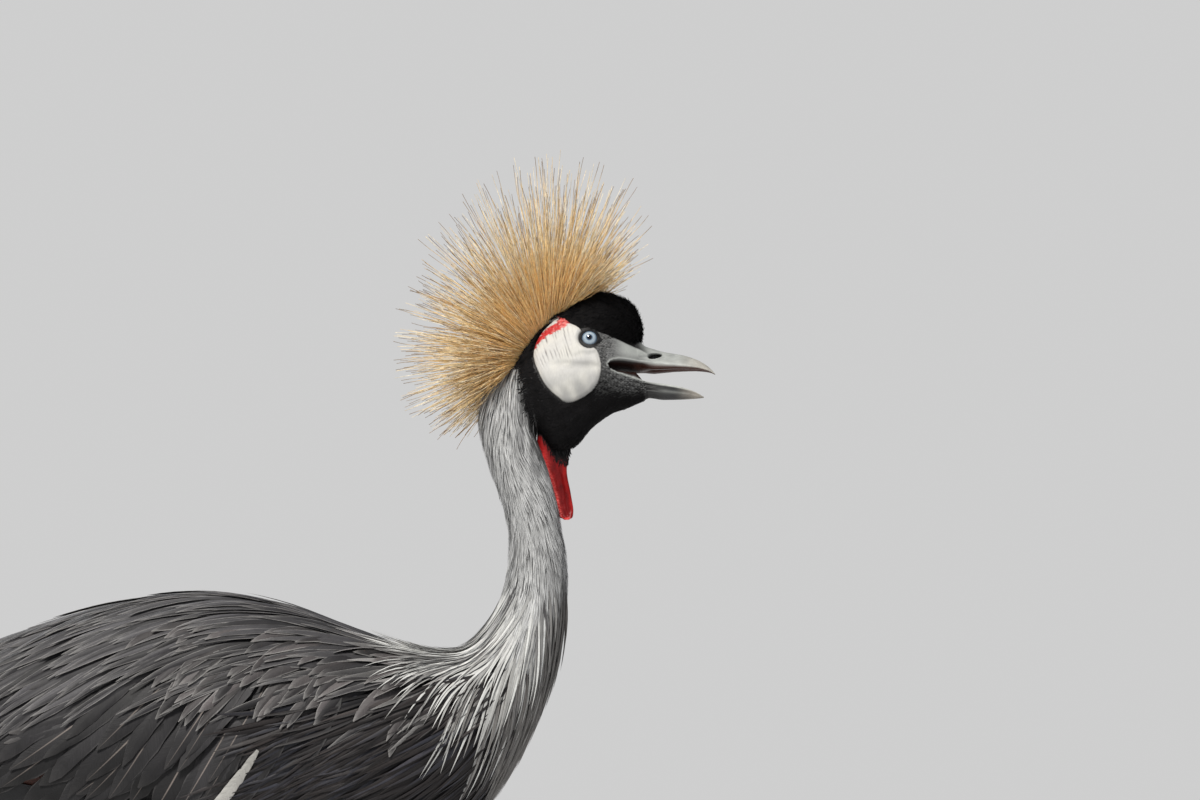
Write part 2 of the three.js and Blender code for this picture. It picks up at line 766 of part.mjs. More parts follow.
const armBase = prism(ARM, -200, -2).intersect(shell(ARM_LEVEL));
const coverts = COVERT_ROWS.flatMap((row) => vaneRow(trunkPoint, row, COVERT_LEVELS));
const arm = union([armBase, ...coverts.map(({ solid }) => solid), ...flightFan(SECONDARIES, 0)]);
const handBase = prism(HAND, -200, -HAND_INNER, true)
  .intersect(shell(HAND_LEVEL))
  .subtract(prism(grownOutline(ARM, GAP), -200, -2));
const hand = union([handBase, ...flightFan(PRIMARIES, 0)]);
const handSpace = prism(grownOutline(HAND, GAP), -200, 0, true);
addPair("wing_arm", arm, "white");
addPair("wing_hand", hand, "black");

function tailSolid() {
  const surface = (at, angle, out) => onSection(tailAt(at), angle, out);
  const stub = lengthOf(tailAt, 0, TAIL_STUB.until, 2, { sides: 10, out: TAIL_STUB.level });
  const feathers = [];
  for (let i = -RECTRICES.side; i <= RECTRICES.side; i++) {
    const angle = degrees(RECTRICES.angles * i);
    const level = RECTRICES.level - RECTRICES.step * Math.abs(i);
    feathers.push(
      vane(surface, {
        root: [0.3, angle * 0.7],
        tip: [2, angle],
        width: RECTRICES.width,
        levels: [level, level],
        depth: 2,
      }),
    );
  }
  return union([stub, ...feathers]).subtract(torsoForm(GAP));
}

add("tail", tailSolid(), "black");

// Legs

// A limb with overlapping plates down its front: each plate has a ring at its top and one at
// its foot, where the front stands proud.
function platedLimb(stations, { count, from, to, proud, lap }) {
  const axis = axisOf(stations);
  const rings = [0, from / 2].map((u) => limbRing(axis(u)));
  for (let i = 0; i < count; i++) {
    const top = spread([from, to], i / count);
    const foot = spread([from, to], (i + 1) / count) - lap;
    rings.push(limbRing(axis(top)));
    const last = limbRing(axis(foot));
    const { centre, radius } = axis(foot);
    last.filter((p) => p.x > centre.x + radius * 0.3).forEach((p) => (p.x += proud));
    rings.push(last);
  }
  rings.push(...[to, (1 + to) / 2, 1].map((u) => limbRing(axis(u))));
  return solidOf(skinOver(rings));
}

function leg() {
  const { y, knee, ankle, heel } = LEG;
  const between = (share) => [
    knee[0] + (ankle[0] - knee[0]) * share,
    knee[1] + (ankle[1] - knee[1]) * share,
  ];
  const at = (share, radius) => {
    const [x, z] = between(share);
    return [x, -y, z, radius];
  };
  const upper = limb([at(-0.1, 33), at(0.08, 31), at(0.25, 21), at(0.36, 13), at(0.44, 8)], { sides: 14 });
  const shank = limb([at(0.3, 6.5), at(0.5, 5.6), at(0.8, 5.4), at(0.93, 7.6), at(1.02, 8.6)]);
  const stations = [
    [ankle[0] - 1, -y, ankle[1] + 12, 7.5],
    [ankle[0], -y, ankle[1], 9.4],
    [ankle[0] + 3, -y, ankle[1] - 20, 6.8],
    [(ankle[0] + heel[0]) / 2, -y, (ankle[1] + heel[1]) / 2, 5],
    [heel[0] - 2, -y, heel[1] + 22, 5.6],
    [heel[0], -y, heel[1], 8],
    [heel[0] + 1, -y, heel[1] - 10, 7],
  ];
  const tarsus = platedLimb(stations, SCUTES);
  const split = { thigh: between(0.42)[1], ankle: ankle[1] + 6, heel: heel[1] + 4 };
  return {
    thigh: band(upper, split.thigh + GAP, 1000).subtract(torsoForm(GAP)).subtract(handSpace),
    shank: band(shank, split.ankle + GAP, split.thigh),
    tarsus: band(tarsus, split.heel + GAP, split.ankle),
    foot: band(tarsus, 0, split.heel),
  };
}

function toe({ yaw, length, radius }) {
  const { y, heel } = LEG;
  const way = new THREE.Vector2(Math.cos(yaw), -Math.sin(yaw));
  const at = (distance, size, lift = size * 0.82) => [
    heel[0] + way.x * distance,
    -y + way.y * distance,
    lift,
    size,
  ];
  const flesh = limb(
    [
      at(0, radius * 1.1, 9),
      at(18, radius * 1.02),
      at(length * 0.62, radius * 0.9),
      at(length, radius * 0.62),
    ],
    { sides: 6, steps: 1 },
  );
  const clawLength = 5 + length * 0.13;
  const clawStart = length + GAP * 1.5; // the toe's end face leans a little
  const claw = limb(
    [
      at(clawStart, radius * 0.5, radius * 0.56),
      at(length + clawLength * 0.5, radius * 0.36, radius * 0.6),
      at(length + clawLength, 0.3, 1),
    ],
    { sides: 6, steps: 1 },
  );
  return { flesh: band(flesh, 0, 100), claw: band(claw, 0.1, 100) };
}

const { thigh, shank, tarsus, foot } = leg();
const toes = Object.entries(TOES).map(([name, size]) => ({ name, ...toe(size) }));
addPair("thigh", thigh, "slate");
addPair("shank", shank, "leg");
addPair("tarsus", tarsus, "leg");
addPair("foot", union([foot, ...toes.map(({ flesh }) => flesh)]), "leg");
for (const { name, claw } of toes) addPair(`claw_${name}`, claw, "claw");

// Crest

// A repeatable run of numbers between -1 and 1.
function seeded(seed) {
  let state = seed;
  return () => {
    state = (state * 16807) % 2147483647;
    return (2 * state) / 2147483647 - 1;
  };
}

// A thin round bristle with one bend, from its root to its pointed tip.
function bristle(root, tip, bend) {
  const along = tip.clone().sub(root).normalize();
  const across = new THREE.Vector3().crossVectors(along, SIDE).normalize();
  const other = new THREE.Vector3().crossVectors(along, across);
  const middle = root.clone().lerp(tip, 0.55).addScaledVector(across, bend[0]).addScaledVector(other, bend[1]);
  const ring = (centre, radius) =>
    [0, 1, 2].map((corner) => {
      const angle = (2 * Math.PI * corner) / 3;
      return centre
        .clone()
        .addScaledVector(across, radius * Math.cos(angle))
        .addScaledVector(other, radius * Math.sin(angle));
    });
  const points = [...ring(root, CREST.radius[0]), ...ring(middle, CREST.radius[1]), tip];
  const index = [0, 2, 1];
  for (let s = 0; s < 3; s++) {
    const next = (s + 1) % 3;
    index.push(s, next, 3 + s, next, 3 + next, 3 + s, 3 + s, 3 + next, 6);
  }
  return solidOf(new THREE.BufferGeometry().setFromPoints(points).setIndex(index));
}

function crestSolid() {
  const { roots, core, count, lean, reach, spread: widest, start } = CREST;
  const draw = seeded(7);
  const bristles = Array.from({ length: count }, (_, i) => {
    const along = THREE.MathUtils.clamp((i + 0.5) / count + draw() * 0.02, 0, 1);
    const side = 2 * ((i * 0.618034) % 1) - 1;
    const turn = degrees(spread(lean, along) + draw() * 5);
    const sideways = Math.asin(widest * side);
    const way = new THREE.Vector3(
      Math.cos(turn) * Math.cos(sideways),
      Math.sin(sideways),
      Math.sin(turn) * Math.cos(sideways),
    );
    const place = along * (reach.length - 1);
    const low = Math.min(Math.floor(place), reach.length - 2);
    const length = spread([reach[low], reach[low + 1]], place - low) * (0.93 + 0.08 * draw());
    const foot = new THREE.Vector3(
      spread([roots.from[0], roots.to[0]], along),
      10 * side,
      spread([roots.from[1], roots.to[1]], along),
    );
    const root = foot.clone().addScaledVector(way, start);
    return bristle(root, foot.addScaledVector(way, length), [draw() * 2.5, draw() * 2.5]);
  });
  const heart = ellipsoid(core.centre, core.radii, core.lean, 16).intersect(above(roots.from, roots.to));
  return union([heart, ...bristles]);
}

const crest = rolled(crestSolid().subtract(headSpace()).subtract(capForm(GAP))).subtract(neckForm(GAP));
add("crest", crest, "gold");

export default group;
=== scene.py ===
import math

import bmesh
import bpy
import numpy as np
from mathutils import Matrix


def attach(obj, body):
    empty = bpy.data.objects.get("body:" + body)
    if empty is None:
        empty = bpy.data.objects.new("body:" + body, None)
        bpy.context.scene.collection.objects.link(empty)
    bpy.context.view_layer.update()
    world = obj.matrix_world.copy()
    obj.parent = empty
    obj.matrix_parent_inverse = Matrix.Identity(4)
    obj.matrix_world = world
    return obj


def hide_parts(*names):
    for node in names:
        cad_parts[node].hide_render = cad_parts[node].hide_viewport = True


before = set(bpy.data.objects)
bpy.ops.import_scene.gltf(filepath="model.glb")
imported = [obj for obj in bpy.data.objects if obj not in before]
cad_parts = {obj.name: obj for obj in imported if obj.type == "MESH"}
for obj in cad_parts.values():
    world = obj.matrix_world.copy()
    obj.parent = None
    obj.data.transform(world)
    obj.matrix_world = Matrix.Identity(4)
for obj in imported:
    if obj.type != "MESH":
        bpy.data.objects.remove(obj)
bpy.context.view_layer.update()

# A grey crowned crane: one skin from rump to bill, its plumage as meshes of single feathers,
# and separate bill, eyes, wattle, crest, legs and claws. All sizes are in millimetres and
# become metres where a mesh is made. x is forward, y is to the bird's left, z is up.

MM = 0.001
MIDDLE = np.array([0.0, -32.0, 0.0])  # the body's own middle plane in the shared frame
HEAD_ROLL = math.radians(18)  # the crown leans away from the camera
ROLL_PIVOT_Z = 735.0
TURN = 2 * np.pi
SPANS = 30  # points of a body curve between two sections
STEP = 0.02  # a small step over a surface, which finds its directions
EDGE_COLUMN = 0.95  # columns beyond this are a feather's edge
SHAFT_COLUMN = 0.06  # columns within this are its shaft
TUFT_SINK = 0.4  # how deep a short feather starts under its root
MARGIN = 0.02  # kept free round the skin's unwrap
PATCH = 0.0015  # half the size of a feather's place in the unwrap
VANE_START = 500  # a feather's barbs start up to this far along their pattern
RUMP_DRAW, RUMP_DROP = 0.62, 22  # how the flesh of the rump shrinks and sinks under the wings

# Sections that each run from the back line to the belly line, from the folded wing tips to
# the root of the bill: [back x, back z, belly x, belly z, half width].
BODY = [
    [-352, 497, -346, 450, 21], [-318, 520, -305, 440, 34], [-270, 547, -250, 428, 47],
    [-222, 572, -192, 414, 60], [-170, 593, -135, 396, 72], [-112, 611, -75, 381, 82],
    [-48, 619, -8, 374, 89], [14, 611, 55, 379, 90], [62, 595.5, 112, 398, 86],
    [103, 580.5, 160, 433, 77], [134, 572.5, 192, 478, 64], [155, 573, 212, 517, 52],
    [169.5, 584, 225, 550, 42], [179.5, 599, 233, 584, 34], [186.5, 618, 236.5, 612, 28.5],
    [190.5, 641, 236.5, 640, 24.5], [191, 664, 232.5, 666, 22], [185, 688, 228, 690, 21],
    [176.5, 711, 221, 713, 20.5], [169.5, 735, 216, 729, 20.5], [167, 757, 213.5, 733.5, 21],
    [172, 778, 213.2, 736, 21], [183, 794, 213.5, 737.8, 21], [199, 804, 214.5, 739.5, 21],
    [208, 816, 228, 727, 21.5], [218, 829, 242, 729, 22.5], [230, 839, 257, 745.5, 23.5],
    [245, 843, 272, 756.5, 23], [260, 840, 284, 761, 19.5], [274, 833, 293, 765, 15.5],
    [286, 822, 300, 768, 12],
]
RUMP = 2.15  # where the flesh ends
NECK_ROOT = 10.6
BILL_ROOT = 30
WING_DEPTH = 14
MANTLE_DEPTH = 3
ROLL_FROM, ROLL_TO = 15, 20.5

# The lips: places along the body, and the angles of the upper and lower lip there.
MOUTH_AT = [27.45, 27.5, 27.55, 27.6, 27.7, 27.9, 28.2, 28.6, 29, 29.3, 29.7, 30]
UPPER_LIP = [104.5, 103.6, 102.8, 101.9, 100.4, 98.9, 97.6, 96.8, 95.8, 94.5, 91.9, 89.5]
LOWER_LIP = [104.5, 108.8, 109.5, 110.1, 111.4, 113.6, 115.8, 118.7, 121, 122.1, 123.3, 124.4]

EYE = np.array([253.8, -15.5, 811.0])
EYE_RADIUS = 8.0

# Stations of the bill: x, z of the ridge, z of the edge, half width.
UPPER_BILL = [
    [283, 818, 795.3, 11.9], [287, 815, 795.3, 11.6], [293, 812.3, 795.2, 10.8],
    [300, 809.8, 795.2, 9.7], [311, 806.5, 794.6, 7.9], [327, 803.6, 793.9, 5.7],
    [336.5, 800.4, 793.2, 4.3], [343, 796.8, 791.9, 2.9], [348, 792.6, 790.2, 1.5],
    [351.2, 788.8, 788.3, 0.4],
]
LOWER_BILL = [
    [284, 767, 782.6, 11.2], [290, 767.4, 781.6, 10.2], [302, 767.8, 779.5, 7.8],
    [314, 767.8, 778.3, 6.2], [325, 768, 776.5, 4.7], [335.5, 768.6, 773.4, 2.9],
    [342.3, 769.3, 770, 0.6],
]
NOSTRIL = {"x": 304.6, "z": 801, "length": 12, "height": 5.2, "tilt": 0.2}

# The bare cheek in the side view, the line along its red upper edge, and the lower edge of
# the black in front of the eye.
CHEEK = [
    [232, 831.5], [239, 824.4], [246.5, 819], [249.7, 806.3], [258.6, 801.8], [262.3, 792],
    [262.6, 784.7], [259.6, 774], [251.7, 765.4], [236.9, 759], [229.5, 763.2], [220.1, 772.6],
    [214.8, 783.1], [210.7, 796.9], [212, 808], [217, 818.5], [226, 828],
]
RED_LINE = [[208.5, 805], [214, 812], [221, 817], [229, 821.3], [235, 826.3], [232.5, 830.5]]
LORE_LINE = [[250, 259.6, 269.5, 282.3, 294.3], [821, 818, 814.6, 809, 805]]

# The throat sac from its root under the throat to its curled foot: height, rear x, front x.
WATTLE = [
    [741, 214, 241], [728, 213.5, 238.5], [714, 217, 236.4], [704, 220.8, 237.2],
    [694, 224, 239.4], [686, 226.6, 240.8], [679, 228.8, 241.4], [675.4, 231, 240.6],
    [673.4, 234, 238],
]

# The crest from front to back of the crown; the lean is in degrees and the reach in mm.
CREST_ROOTS = [[198, 204, 213, 225, 240], [795, 806, 819, 832, 842.5]]
CREST_LEAN = [228, 34]
CREST_REACH = [80, 99, 107, 118, 130, 143, 122, 62]
CREST_SPREAD = 0.76

LEG_Y = 44
KNEE, ANKLE, HEEL = np.array([[30, 412], [-20, 208], [2, 20]])  # x and z
# Each toe's yaw, length and radius.
TOES = {
    "inner": [-0.5, 66, 6.0], "middle": [0.03, 84, 6.6], "outer": [0.56, 68, 6.0],
    "hind": [math.pi - 0.12, 30, 5.0],
}

# How the width of a feather runs from its root to its tip, and the places across it.
LANCE = [[0, 0.15, 0.4, 0.7, 0.9, 1], [0.35, 0.8, 1, 0.75, 0.35, 0.04]]
HAIR = [[0, 0.3, 0.7, 1], [0.8, 1, 0.7, 0.06]]
BROAD = [[0, 0.12, 0.35, 0.65, 0.85, 0.95, 1], [0.3, 0.7, 0.97, 1, 0.8, 0.5, 0.12]]
LONG = [[0, 0.08, 0.3, 0.8, 0.93, 1], [0.3, 0.7, 0.95, 1, 0.75, 0.12]]
SCAPULAR = [[0, 0.12, 0.35, 0.6, 0.8, 0.93, 1], [0.3, 0.75, 1, 0.92, 0.68, 0.36, 0.06]]
TUFT = [[0, 0.4, 1], [0.8, 1, 0.1]]
FLAT = np.array([-1.0, 0.0, 1.0])
NARROW = np.array([-1.0, -0.74, -0.1, 0.0, 0.1, 0.74, 1.0])
VANED = np.array([-1.0, -0.88, -0.5, -0.07, -0.022, 0.022, 0.07, 0.5, 0.88, 1.0])
STRONG = np.array([-1.0, -0.8, -0.4, -0.05, 0.05, 0.4, 0.8, 1.0])
TAIL_COLUMNS = np.array([-1.0, -0.5, -0.05, 0.05, 0.5, 1.0])

SIDES = (("right", 1), ("left", -1))

rng = np.random.default_rng(11)


# Colours


def srgb(*levels):
    """A colour on the screen's 0 to 255 scale as linear light."""
    share = np.array(levels, float) / 255
    return np.where(share <= 0.04045, share / 12.92, ((share + 0.055) / 1.055) ** 2.4)


BLACK = srgb(17, 16, 17)
LORE = srgb(122, 123, 123)
SLATE = srgb(66, 65, 67)
SLATE_DARK = srgb(32, 31, 33)
SLATE_PALE = srgb(156, 154, 152)
BREAST = srgb(18, 17, 20)
BREAST_EDGE = srgb(60, 54, 52)
NECK = srgb(178, 179, 179)
NECK_DARK = srgb(92, 91, 94)
PLUME = srgb(188, 189, 187)
WHITE = srgb(226, 224, 218)
CHEEK_WHITE = srgb(191, 190, 187)
SCARLET = srgb(186, 38, 40)
STRAW = srgb(214, 190, 132)
CHESTNUT = srgb(92, 44, 28)
PRIMARY = srgb(26, 26, 29)
GOLD = srgb(252, 220, 160)
GOLD_LIGHT = srgb(255, 241, 208)
GOLD_DARK = srgb(168, 118, 66)
GOLD_CORE = srgb(255, 208, 134)
BILL_GREY = srgb(160, 163, 160)
BILL_DARK = srgb(58, 59, 60)
HORN = srgb(172, 165, 154)
MOUTH = srgb(70, 32, 18)
SCALE_JOINT = srgb(12, 11, 12)


# Small numeric helpers


def stack(*parts):
    """Numbers or arrays side by side, as the last axis of one array."""
    return np.stack(np.broadcast_arrays(*parts), axis=-1)


def size_of(vectors):
    return np.linalg.norm(vectors, axis=-1, keepdims=True)


def unit(vectors):
    return vectors / np.maximum(size_of(vectors), 1e-9)


def dot(first, second):
    return (first * second).sum(-1, keepdims=True)


def ease(value, low, high):
    """A smooth step from 0 at low to 1 at high."""
    share = np.clip((np.asarray(value, float) - low) / (high - low), 0, 1)
    return share * share * (3 - 2 * share)


def bell(value, width, middle=0.0):
    """A smooth hump of height 1."""
    return np.exp(-(((value - middle) / width) ** 2))


def mix(first, second, share):
    share = np.asarray(share, float)[..., None]
    return first * (1 - share) + second * share


def off_top(angle):
    """How far an angle lies from the back line, on either side."""
    return np.abs(np.mod(angle + np.pi, TURN) - np.pi)


def around(count):
    """Angles of a closed ring."""
    return np.linspace(0, TURN, count + 1)[:-1]


def even(roots, low=0.0, high=1.0):
    """An even random number for each root."""
    return rng.uniform(low, high, len(roots))


def random(roots, amount):
    """A random number about zero for each root."""
    return amount * rng.normal(size=len(roots))


def varied(value, n, amount, low, high):
    """A size for each of n feathers, each its own by a random share."""
    return np.broadcast_to(value, n) * rng.normal(1, amount, n).clip(low, high)


def ripple(points, size, seed, waves=7):
    """A smooth random height between about -1 and 1, with bumps of about the given size."""
    draw = np.random.default_rng(seed)
    points = np.asarray(points, float)
    total = np.zeros(points.shape[:-1])
    for _ in range(waves):
        way = unit(draw.normal(size=points.shape[-1]))
        total += np.sin(points @ way * 2 * np.pi / (size * draw.uniform(0.7, 1.5)) + draw.uniform(0, 6.3))
    return total / math.sqrt(waves) / 1.4


def curve(points, spans=SPANS):
    """A dense run of points on a smooth curve through the given ones."""
    points = np.asarray(points, float)
    padded = np.vstack([2 * points[0] - points[1], points, 2 * points[-1] - points[-2]])
    share = np.arange(spans)[:, None] / spans
    run = []
    for i in range(len(points) - 1):
        a, b, c, d = padded[i : i + 4]
        ab, bc, cd = (math.sqrt(max(np.linalg.norm(step), 1e-4)) for step in (b - a, c - b, d - c))
        leave = ((b - a) / ab - (c - a) / (ab + bc) + (c - b) / bc) * bc
        reach = ((c - b) / bc - (d - b) / (bc + cd) + (d - c) / cd) * bc
        third = -3 * b + 3 * c - 2 * leave - reach
        fourth = 2 * b - 2 * c + leave + reach
        run.append(b + leave * share + third * share**2 + fourth * share**3)
    return np.vstack([*run, points[-1]])


def widths(values, spans=SPANS):
    """A smooth run of sizes at even stations."""
    return curve([[10 * i, value, 0] for i, value in enumerate(values)], spans)[:, 1]


def roll(points, share=1.0):
    """Turns points of the upright head with the crown towards the bird's left."""
    angle = HEAD_ROLL * np.asarray(share, float)
    x, y, z = points[..., 0], points[..., 1], points[..., 2] - ROLL_PIVOT_Z
    cos, sin = np.cos(angle), np.sin(angle)
    return stack(x, y * cos + z * sin, z * cos - y * sin + ROLL_PIVOT_Z)


def roll_way(ways):
    """Turns directions of the upright head as roll turns its points."""
    pivot = np.array([0, 0, ROLL_PIVOT_Z])
    return roll(ways + pivot) - pivot


class Surface:
    """A body through oval sections. A place on it is (at, angle): at counts sections, and the
    angle runs from the section's first axis round by the bird's right side."""

    def __init__(self, centre, first, side, spans=SPANS, rolls=False):
        self.rows = np.hstack([centre, first, side])
        self.spans = spans
        self.rolls = rolls

    def frame(self, at, angle):
        place = np.asarray(at, float) * self.spans
        low = np.clip(np.floor(place).astype(int), 0, len(self.rows) - 2)
        share = (place - low)[..., None]
        row = self.rows[low] * (1 - share) + self.rows[low + 1] * share
        centre, first, side = row[..., :3], row[..., 3:6], row[..., 6:]
        cos, sin = np.cos(angle)[..., None], np.sin(angle)[..., None]
        first_size = np.maximum(dot(first, first), 1e-6)
        side_size = np.maximum(dot(side, side), 1e-6)
        normal = unit(first * cos / first_size + side * sin / side_size)
        return centre + first * cos + side * sin, normal

    def point(self, at, angle, out=0.0, upright=False):
        at, angle, out = np.broadcast_arrays(np.asarray(at, float), angle, out)
        point, normal = self.frame(at, angle)
        point = point + normal * out[..., None]
        if self.rolls and not upright:
            point = roll(point, ease(at, ROLL_FROM, ROLL_TO))
        return point


def body_surface(inner):
    """The bird's form out to its plumage, or the flesh inside it with room for the wings."""
    back = curve([[x, 0, z] for x, z, *_ in BODY])
    belly = curve([[x, 0, z] for _, _, x, z, _ in BODY])
    width = widths([row[4] for row in BODY])
    centre = (back + belly) / 2
    half = (back - belly) / 2
    if inner:
        at = np.arange(len(centre)) / SPANS
        inside = 1 - ease(at, NECK_ROOT - 0.4, NECK_ROOT + 0.4)
        drawn = 1 - RUMP_DRAW * (1 - ease(at, RUMP, 5)) * inside
        flank = np.maximum(WING_DEPTH * (1 - ease(at, 6.5, 10)), MANTLE_DEPTH) * inside
        centre[:, 2] -= (1 - drawn) * RUMP_DROP
        depth = np.linalg.norm(half, axis=1)
        half *= ((depth * drawn - MANTLE_DEPTH * inside) / depth)[:, None]
        width = width * drawn - flank
    return Surface(centre, half, stack(0, -width, 0), rolls=True)


body = body_surface(False)
flesh = body_surface(True)


# Meshes


def piece(name, points, faces, tint, material, slot, replaces=(), vane=None, bake=None, solid=True):
    """A mesh object from points in millimetres and four-cornered faces."""
    points = (np.asarray(points, float).reshape(-1, 3) + MIDDLE) * MM
    faces = np.asarray(faces, np.int32).reshape(-1, 4)
    mesh = bpy.data.meshes.new(name)
    mesh.vertices.add(len(points))
    mesh.vertices.foreach_set("co", points.astype(np.float32).ravel())
    mesh.loops.add(faces.size)
    mesh.loops.foreach_set("vertex_index", faces.ravel())
    mesh.polygons.add(len(faces))
    mesh.polygons.foreach_set("loop_start", np.arange(0, faces.size, 4, dtype=np.int32))
    mesh.polygons.foreach_set("use_smooth", np.ones(len(faces), bool))
    colour = np.ones((len(points), 4), np.float32)
    colour[:, :3] = np.asarray(tint).reshape(-1, 3)
    mesh.attributes.new("tint", "FLOAT_COLOR", "POINT").data.foreach_set("color", colour.ravel())
    for label, places in (("OFBake", bake), ("Vane", vane)):
        if places is not None:
            corner = np.asarray(places, np.float32).reshape(-1, 2)[faces.ravel()]
            mesh.uv_layers.new(name=label).data.foreach_set("uv", corner.ravel())
    mesh.update(calc_edges=True)
    mesh.validate()
    if solid:
        shell = bmesh.new()
        shell.from_mesh(mesh)
        bmesh.ops.remove_doubles(shell, verts=shell.verts, dist=1e-7)
        bmesh.ops.recalc_face_normals(shell, faces=shell.faces)
        shell.to_mesh(mesh)
        shell.free()
    mesh.materials.append(material)
    made = bpy.data.objects.new(name, mesh)
    bpy.context.scene.collection.objects.link(made)
    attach(made, "root")
    if replaces:
        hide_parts(*replaces)


def quads(rows, columns, closed=False):
    """The faces of a grid of points; closed joins its last column to its first."""
    row = np.arange(rows - 1)[:, None] * columns
    column = np.arange(columns if closed else columns - 1)[None]
    following = (column + 1) % columns
    corners = [row + column, row + following, row + columns + following, row + columns + column]
    return np.stack([c.ravel() for c in corners], axis=-1)


def capped(rings):
    """A closed tube over rings of points, with each end drawn in to its middle."""
    ends = [np.repeat(ring.mean(0)[None], len(ring), axis=0) for ring in (rings[0], rings[-1])]
    whole = np.concatenate([ends[0][None], rings, ends[1][None]])
    return whole, quads(len(whole), whole.shape[1], True)


def capped_tint(tint):
    """The colours of a closed tube, whose ends take those of its first and last rings."""
    return np.concatenate([tint[:1], tint, tint[-1:]])


class Coat:
    """Many small sheets or spines that become one piece."""

    def __init__(self):
        self.parts = {"points": [], "faces": [], "tint": [], "vane": [], "bake": []}
        self.count = 0

    def add(self, points, tint, vane, root, closed=False):
        """points is (n, rows, columns, 3); root is each one's place on the skin's unwrap."""
        n, rows, columns, _ = points.shape
        start = self.count + np.arange(n)[:, None, None] * rows * columns
        patch = PATCH * stack(np.linspace(-1, 1, columns), np.linspace(-1, 1, rows)[:, None])
        self.parts["points"].append(points.reshape(-1, 3))
        self.parts["faces"].append((start + quads(rows, columns, closed)[None]).reshape(-1, 4))
        self.parts["tint"].append(np.broadcast_to(tint, points.shape).reshape(-1, 3))
        self.parts["vane"].append(np.broadcast_to(vane, (n, rows, columns, 2)).reshape(-1, 2))
        self.parts["bake"].append((root[:, None, None] + patch).reshape(-1, 2))
        self.count += n * rows * columns

    def build(self, name, material, slot, replaces=()):
        whole = {key: np.concatenate(value) for key, value in self.parts.items()}
        piece(name, material=material, slot=slot, replaces=replaces, solid=False, **whole)


def unwrap(at, angle, rows=BILL_ROOT):
    """A place on a surface as a place in its unwrap, kept off the edges."""
    turn = np.mod(angle / TURN + 0.5, 1)
    return MARGIN + (1 - 2 * MARGIN) * stack(turn, np.clip(at / rows, 0, 1))


def sheets(centre, across, normal, half, columns, camber):
    """Sheets over middle lines: columns are shares of the half width, camber drops the edges."""
    ragged = rng.uniform(0.86, 1.08, (*half.shape, len(columns)))
    ragged = np.where(np.abs(columns) > EDGE_COLUMN, ragged, 1)
    sideways = across[:, :, None] * (half[..., None] * columns * ragged)[..., None]
    droop = normal[:, :, None] * (camber * half[..., None] * columns**2)[..., None]
    return centre[:, :, None] + sideways - droop


def vanes(half, columns, length, u):
    """Places in millimetres across and along each feather, each with its own start."""
    offset = even(half, 0, VANE_START)[:, None, None]
    return stack(half[..., None] * columns, length[:, None, None] * u[None, :, None] + offset)


def taper(width, outline, u):
    """The half width of feathers along them."""
    return np.asarray(width)[:, None] / 2 * np.interp(u, *outline)[None]


def repeated(directions, rows):
    """The same direction for each row of a feather."""
    return np.repeat(directions[:, None], rows, 1)


def walk(surface, at, angle, heading, length, rows, curl=0.0, aim=None):
    """Lines over a surface from their roots: heading turns from tailwards towards the belly, or
    where there is an aim, from the direction that far below the horizontal, towards the tail."""
    given = (np.asarray(at, float), angle, heading, length, curl)
    at, angle, heading, length, curl = np.broadcast_arrays(*given)
    at, angle = at.copy(), angle.copy()
    if aim is not None:
        aim = np.radians(np.broadcast_to(aim, at.shape))
        aim = stack(-np.cos(aim), 0, -np.sin(aim))
    side = np.where(np.sin(angle) >= 0, 1.0, -1.0)
    found = []
    for i in range(rows):
        here = surface.point(at, angle)
        normal = unit(surface.point(at, angle, 1.0) - here)
        tailward = (surface.point(at - STEP, angle) - here) / STEP
        down = (surface.point(at, angle + STEP * side) - here) / STEP
        back = unit(tailward)
        belly = unit(down - dot(down, back) * back)
        if aim is not None:
            first = unit(back * dot(aim, back) + belly * dot(aim, belly))
            back, belly = first, belly * dot(first, back) - back * dot(first, belly)
        turn = (heading + curl * i / (rows - 1))[..., None]
        way = back * np.cos(turn) + belly * np.sin(turn)
        found.append((here, normal, way))
        move = way * (length / (rows - 1))[..., None]
        pairs = ((tailward, tailward), (tailward, down), (down, down), (tailward, move), (down, move))
        tt, td, dd, tm, dm = ((one * two).sum(-1) for one, two in pairs)
        det = np.maximum(tt * dd - td * td, 1e-6)
        at -= (tm * dd - dm * td) / det
        angle += side * (dm * tt - tm * td) / det
    return [np.stack(parts, axis=1) for parts in zip(*found)]


def feather_tint(base, u, columns, tone, root_dark, edge=SLATE_PALE, edge_share=0.0, shaft=SLATE_PALE,
                 shaft_share=0.0, tip_dark=1.0):
    """The colour over each feather: its own tone, an edge and a shaft, and painted shade that darkens its
    covered root and, where asked, its tip.
    """
    grid = (len(base), len(u), len(columns))
    shaft_share = np.broadcast_to(shaft_share, len(base))[:, None, None]
    colour = np.broadcast_to(base[:, None, None] * tone[:, None, None, None], (*grid, 3))
    rim = (np.abs(columns) > EDGE_COLUMN) * edge_share * ease(u, 0.2, 0.6)[None, :, None]
    tip = ease(u, 0.86, 1)[None, :, None] * edge_share * 0.8
    colour = mix(colour, edge, np.maximum(rim, tip) * np.ones(grid))
    quill = (np.abs(columns) < SHAFT_COLUMN) * shaft_share * (1 - 0.6 * u)[None, :, None]
    colour = mix(colour, shaft, quill * np.ones(grid))
    # Painted shade: darker at the root, where the feather above covers it, and towards the tip where its
    # share is below 1.
    dark = root_dark + (1 - root_dark) * ease(u, 0.1, 0.6)
    dark = dark * (1 - (1 - tip_dark) * ease(u, 0.55, 1))
    return colour * dark[None, :, None, None]


